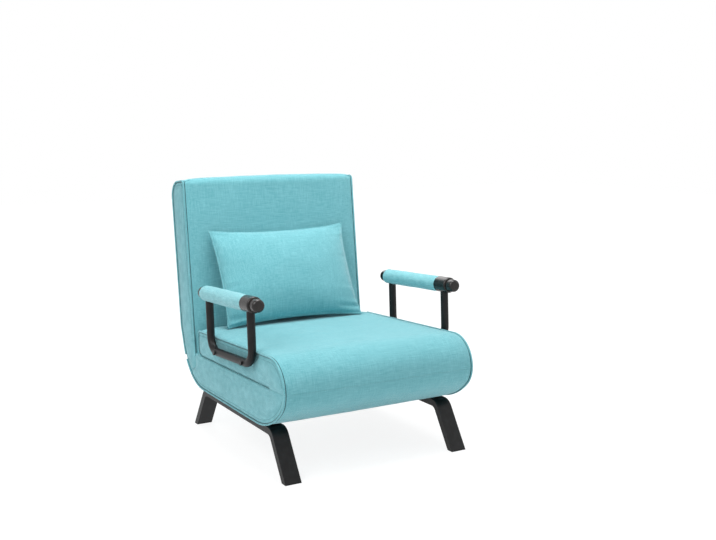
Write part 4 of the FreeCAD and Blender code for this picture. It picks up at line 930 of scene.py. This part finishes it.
def arm_radius(along, angle, side):
    """The sleeve's radius: a rolled rim at each end, a sewn seam along the underside, soft unevenness."""
    end = min(along - ARM_FROM, ARM_TO - along)
    radius = (ARM_PAD_R - END_DRAW * math.exp(-end / END_REACH)
              + ROLL_HIGH * math.exp(-((end - ROLL_FROM_END) / ROLL_LONG) ** 2))
    under = math.atan2(math.sin(angle + math.pi / 2), math.cos(angle + math.pi / 2))
    radius -= UNDER_SEAM * math.exp(-(under / UNDER_SEAM_WIDE) ** 2)
    broad = Vector((math.cos(angle) * 1.6, math.sin(angle) * 1.6 + side * 9, along / 42.0))
    radius += 0.9 * noise.noise(broad)
    radius += 0.5 * noise.noise(Vector((angle * 3, along / 9.0, side * 4))) * math.exp(-end / 20.0)
    return radius


def arm_pad(side, label):
    bm = bmesh.new()
    rings = []
    for i in range(ARM_RINGS + 1):
        share = i / ARM_RINGS
        along = ARM_FROM + (ARM_TO - ARM_FROM) * (share - ARM_CROWD * math.sin(2 * math.pi * share))
        ring = []
        for k in range(ARM_SIDES):
            angle = 2 * math.pi * k / ARM_SIDES - math.pi / 2
            radius = arm_radius(along, angle, side)
            ring.append(bm.verts.new(on_arm(side * ARM_X + radius * math.cos(angle), along,
                                            ARM_N + radius * math.sin(angle))))
        rings.append(ring)
    for ring, following in zip(rings, rings[1:]):
        bridge(bm, ring, following, closed=True)
    bm.faces.new(rings[0][::-1])
    bm.faces.new(rings[-1])
    sleeve = piece_from(bm, "arm_sleeve_" + label, sharp=60.0)
    dress(sleeve, arm_linen, "seat", ("arm_pad_" + label,))


# Lining

LINING_COLUMNS, LINING_ROWS = 48, 40
LINING_DROP = 0.6                       # below the frame that it is tacked to
LINING_SAG = 1.4
LINING_WRINKLE = 0.5
SAG_REACH = 40.0
TACK_REACH = 20.0


def lining():
    """The black lining under the base, drawn slack between its tacks."""
    low, high = [Vector(corner) * 1000 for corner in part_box("base_dust_cover")]
    bm = bmesh.new()
    rows = []
    for i in range(LINING_COLUMNS + 1):
        x = low.x + (high.x - low.x) * i / LINING_COLUMNS
        row = []
        for j in range(LINING_ROWS + 1):
            y = low.y + (high.y - low.y) * j / LINING_ROWS
            inset = min(x - low.x, high.x - x, y - low.y, high.y - y)
            wrinkle = LINING_WRINKLE * noise.noise(Vector((x / 60, y / 45, 4)))
            sag = max(0.0, LINING_SAG * (1 - math.exp(-inset / SAG_REACH)) + wrinkle)
            z = high.z - LINING_DROP - sag * min(1.0, inset / TACK_REACH)
            row.append(bm.verts.new(Vector((x, y, z)) / 1000))
        rows.append(row)
    for row, following in zip(rows, rows[1:]):
        bridge(bm, row, following, closed=False)
    sheet = piece_from(bm, "base_lining", closed=False)
    dress(sheet, lining_black, "base", ("base_dust_cover",))


# Studio, in metres and watts

FLOOR_HALF = 9.0
FLOOR_Z = -0.0005
FLOOR_GLOW = 1.12
NEAR_WHITE = (0.78, 0.78, 0.78, 1)      # share of the glow that the floor has beside the chair
WHITE = (1, 1, 1, 1)
WHITEN_REACH = 4.0                      # the floor has all of it from 0.7 of this distance on
SKY_TINT = (0.92, 0.96, 1.0, 1)
SKY_STRENGTH = 0.34
LAMP_AIM = Vector((0, 0, 0.4))
LAMPS = (("key", (-2.4, -1.2, 2.8), 2.0, 56.0), ("fill", (2.6, -1.8, 1.8), 2.4, 8.0),
         ("top", (0.2, -0.2, 3.2), 2.0, 92.0), ("rear", (0.8, 2.8, 2.2), 2.4, 30.0))


def mix_shaders(tree, share, first, second, out):
    mix = tree.nodes.new("ShaderNodeMixShader")
    tree.links.new(share, mix.inputs[0])
    tree.links.new(first.outputs[0], mix.inputs[1])
    tree.links.new(second.outputs[0], mix.inputs[2])
    tree.links.new(mix.outputs[0], out.inputs["Surface"])


def floor_share(tree):
    """How much of the floor's light is its own glow: none for rays that light the chair."""
    rays = tree.nodes.new("ShaderNodeLightPath")
    reach = tree.nodes.new("ShaderNodeVectorMath")
    reach.operation = "LENGTH"
    tree.links.new(tree.nodes.new("ShaderNodeNewGeometry").outputs["Position"], reach.inputs[0])
    # The floor turns plain white away from the chair, so that its far edge isn't seen.
    whiten = ramp(tree, math_node(tree, "MULTIPLY", reach.outputs["Value"], 1 / WHITEN_REACH),
                  (0.3, NEAR_WHITE), (0.7, WHITE))
    seen = math_node(tree, "MAXIMUM", rays.outputs["Is Camera Ray"], rays.outputs["Is Glossy Ray"])
    return math_node(tree, "MULTIPLY", seen, whiten)


def floor_sheet():
    h = FLOOR_HALF
    mesh = bpy.data.meshes.new("studio_floor")
    mesh.from_pydata([(-h, -h, FLOOR_Z), (h, -h, FLOOR_Z), (h, h, FLOOR_Z), (-h, h, FLOOR_Z)],
                     [], [(0, 1, 2, 3)])
    floor = bpy.data.objects.new("studio_floor", mesh)
    bpy.context.scene.collection.objects.link(floor)
    material, tree, shader, where = new_material("studio_white", Roughness=0.9)
    paint(tree, shader, noise_at(tree, where, (3, 3, 3)), (0.3, "F2F2F2"), (0.7, "F6F6F6"))
    glow = add(tree, "ShaderNodeEmission", Color=WHITE, Strength=FLOOR_GLOW)
    mix_shaders(tree, floor_share(tree), shader, glow, tree.nodes["Material Output"])
    mesh.materials.append(material)


def surroundings():
    """White to the eye, and a soft pale light to the chair."""
    world = bpy.data.worlds.new("studio_world")
    bpy.context.scene.world = world
    world.use_nodes = True
    tree = world.node_tree
    tree.nodes.clear()
    rays = tree.nodes.new("ShaderNodeLightPath")
    seen = math_node(tree, "MAXIMUM", rays.outputs["Is Camera Ray"],
                     math_node(tree, "MAXIMUM", rays.outputs["Is Glossy Ray"],
                               rays.outputs["Is Transmission Ray"]))
    soft = add(tree, "ShaderNodeBackground", Color=SKY_TINT, Strength=SKY_STRENGTH)
    white = add(tree, "ShaderNodeBackground", Color=WHITE, Strength=1.0)
    mix_shaders(tree, seen, soft, white, tree.nodes.new("ShaderNodeOutputWorld"))


def lamps():
    for name, place, wide, power in LAMPS:
        data = bpy.data.lights.new(name, "AREA")
        data.shape = "DISK"
        data.size = wide
        data.energy = power
        lamp = bpy.data.objects.new(name, data)
        bpy.context.scene.collection.objects.link(lamp)
        lamp.location = place
        lamp.rotation_euler = (LAMP_AIM - Vector(place)).to_track_quat("-Z", "Y").to_euler()


# Camera, fitted to the photo's edges

EYE = (-1.4670, -2.7740, 0.9989)
EYE_TURN = math.radians(30.42)
EYE_DOWN = math.radians(8.66)
FOCAL_PX = 1008.0
PICTURE_WIDE_PX = 716.0
SENSOR_WIDE = 36.0


def camera():
    data = bpy.data.cameras.new("camera")
    data.sensor_width = SENSOR_WIDE
    data.lens = SENSOR_WIDE * FOCAL_PX / PICTURE_WIDE_PX
    eye = bpy.data.objects.new("camera", data)
    bpy.context.scene.collection.objects.link(eye)
    eye.location = EYE
    heading = Vector((math.sin(EYE_TURN) * math.cos(EYE_DOWN), math.cos(EYE_TURN) * math.cos(EYE_DOWN),
                      -math.sin(EYE_DOWN)))
    eye.rotation_euler = heading.to_track_quat("-Z", "Y").to_euler()
    bpy.context.scene.camera = eye


finish_frame_nodes()
seat_layer()
base_layer()
backrest()
rear_gusset()
make_pillow()
for arm_side, arm_label in ((1, "left"), (-1, "right")):
    arm_pad(arm_side, arm_label)
lining()
floor_sheet()
surroundings()
lamps()
camera()
bpy.context.scene.view_settings.view_transform = "Standard"
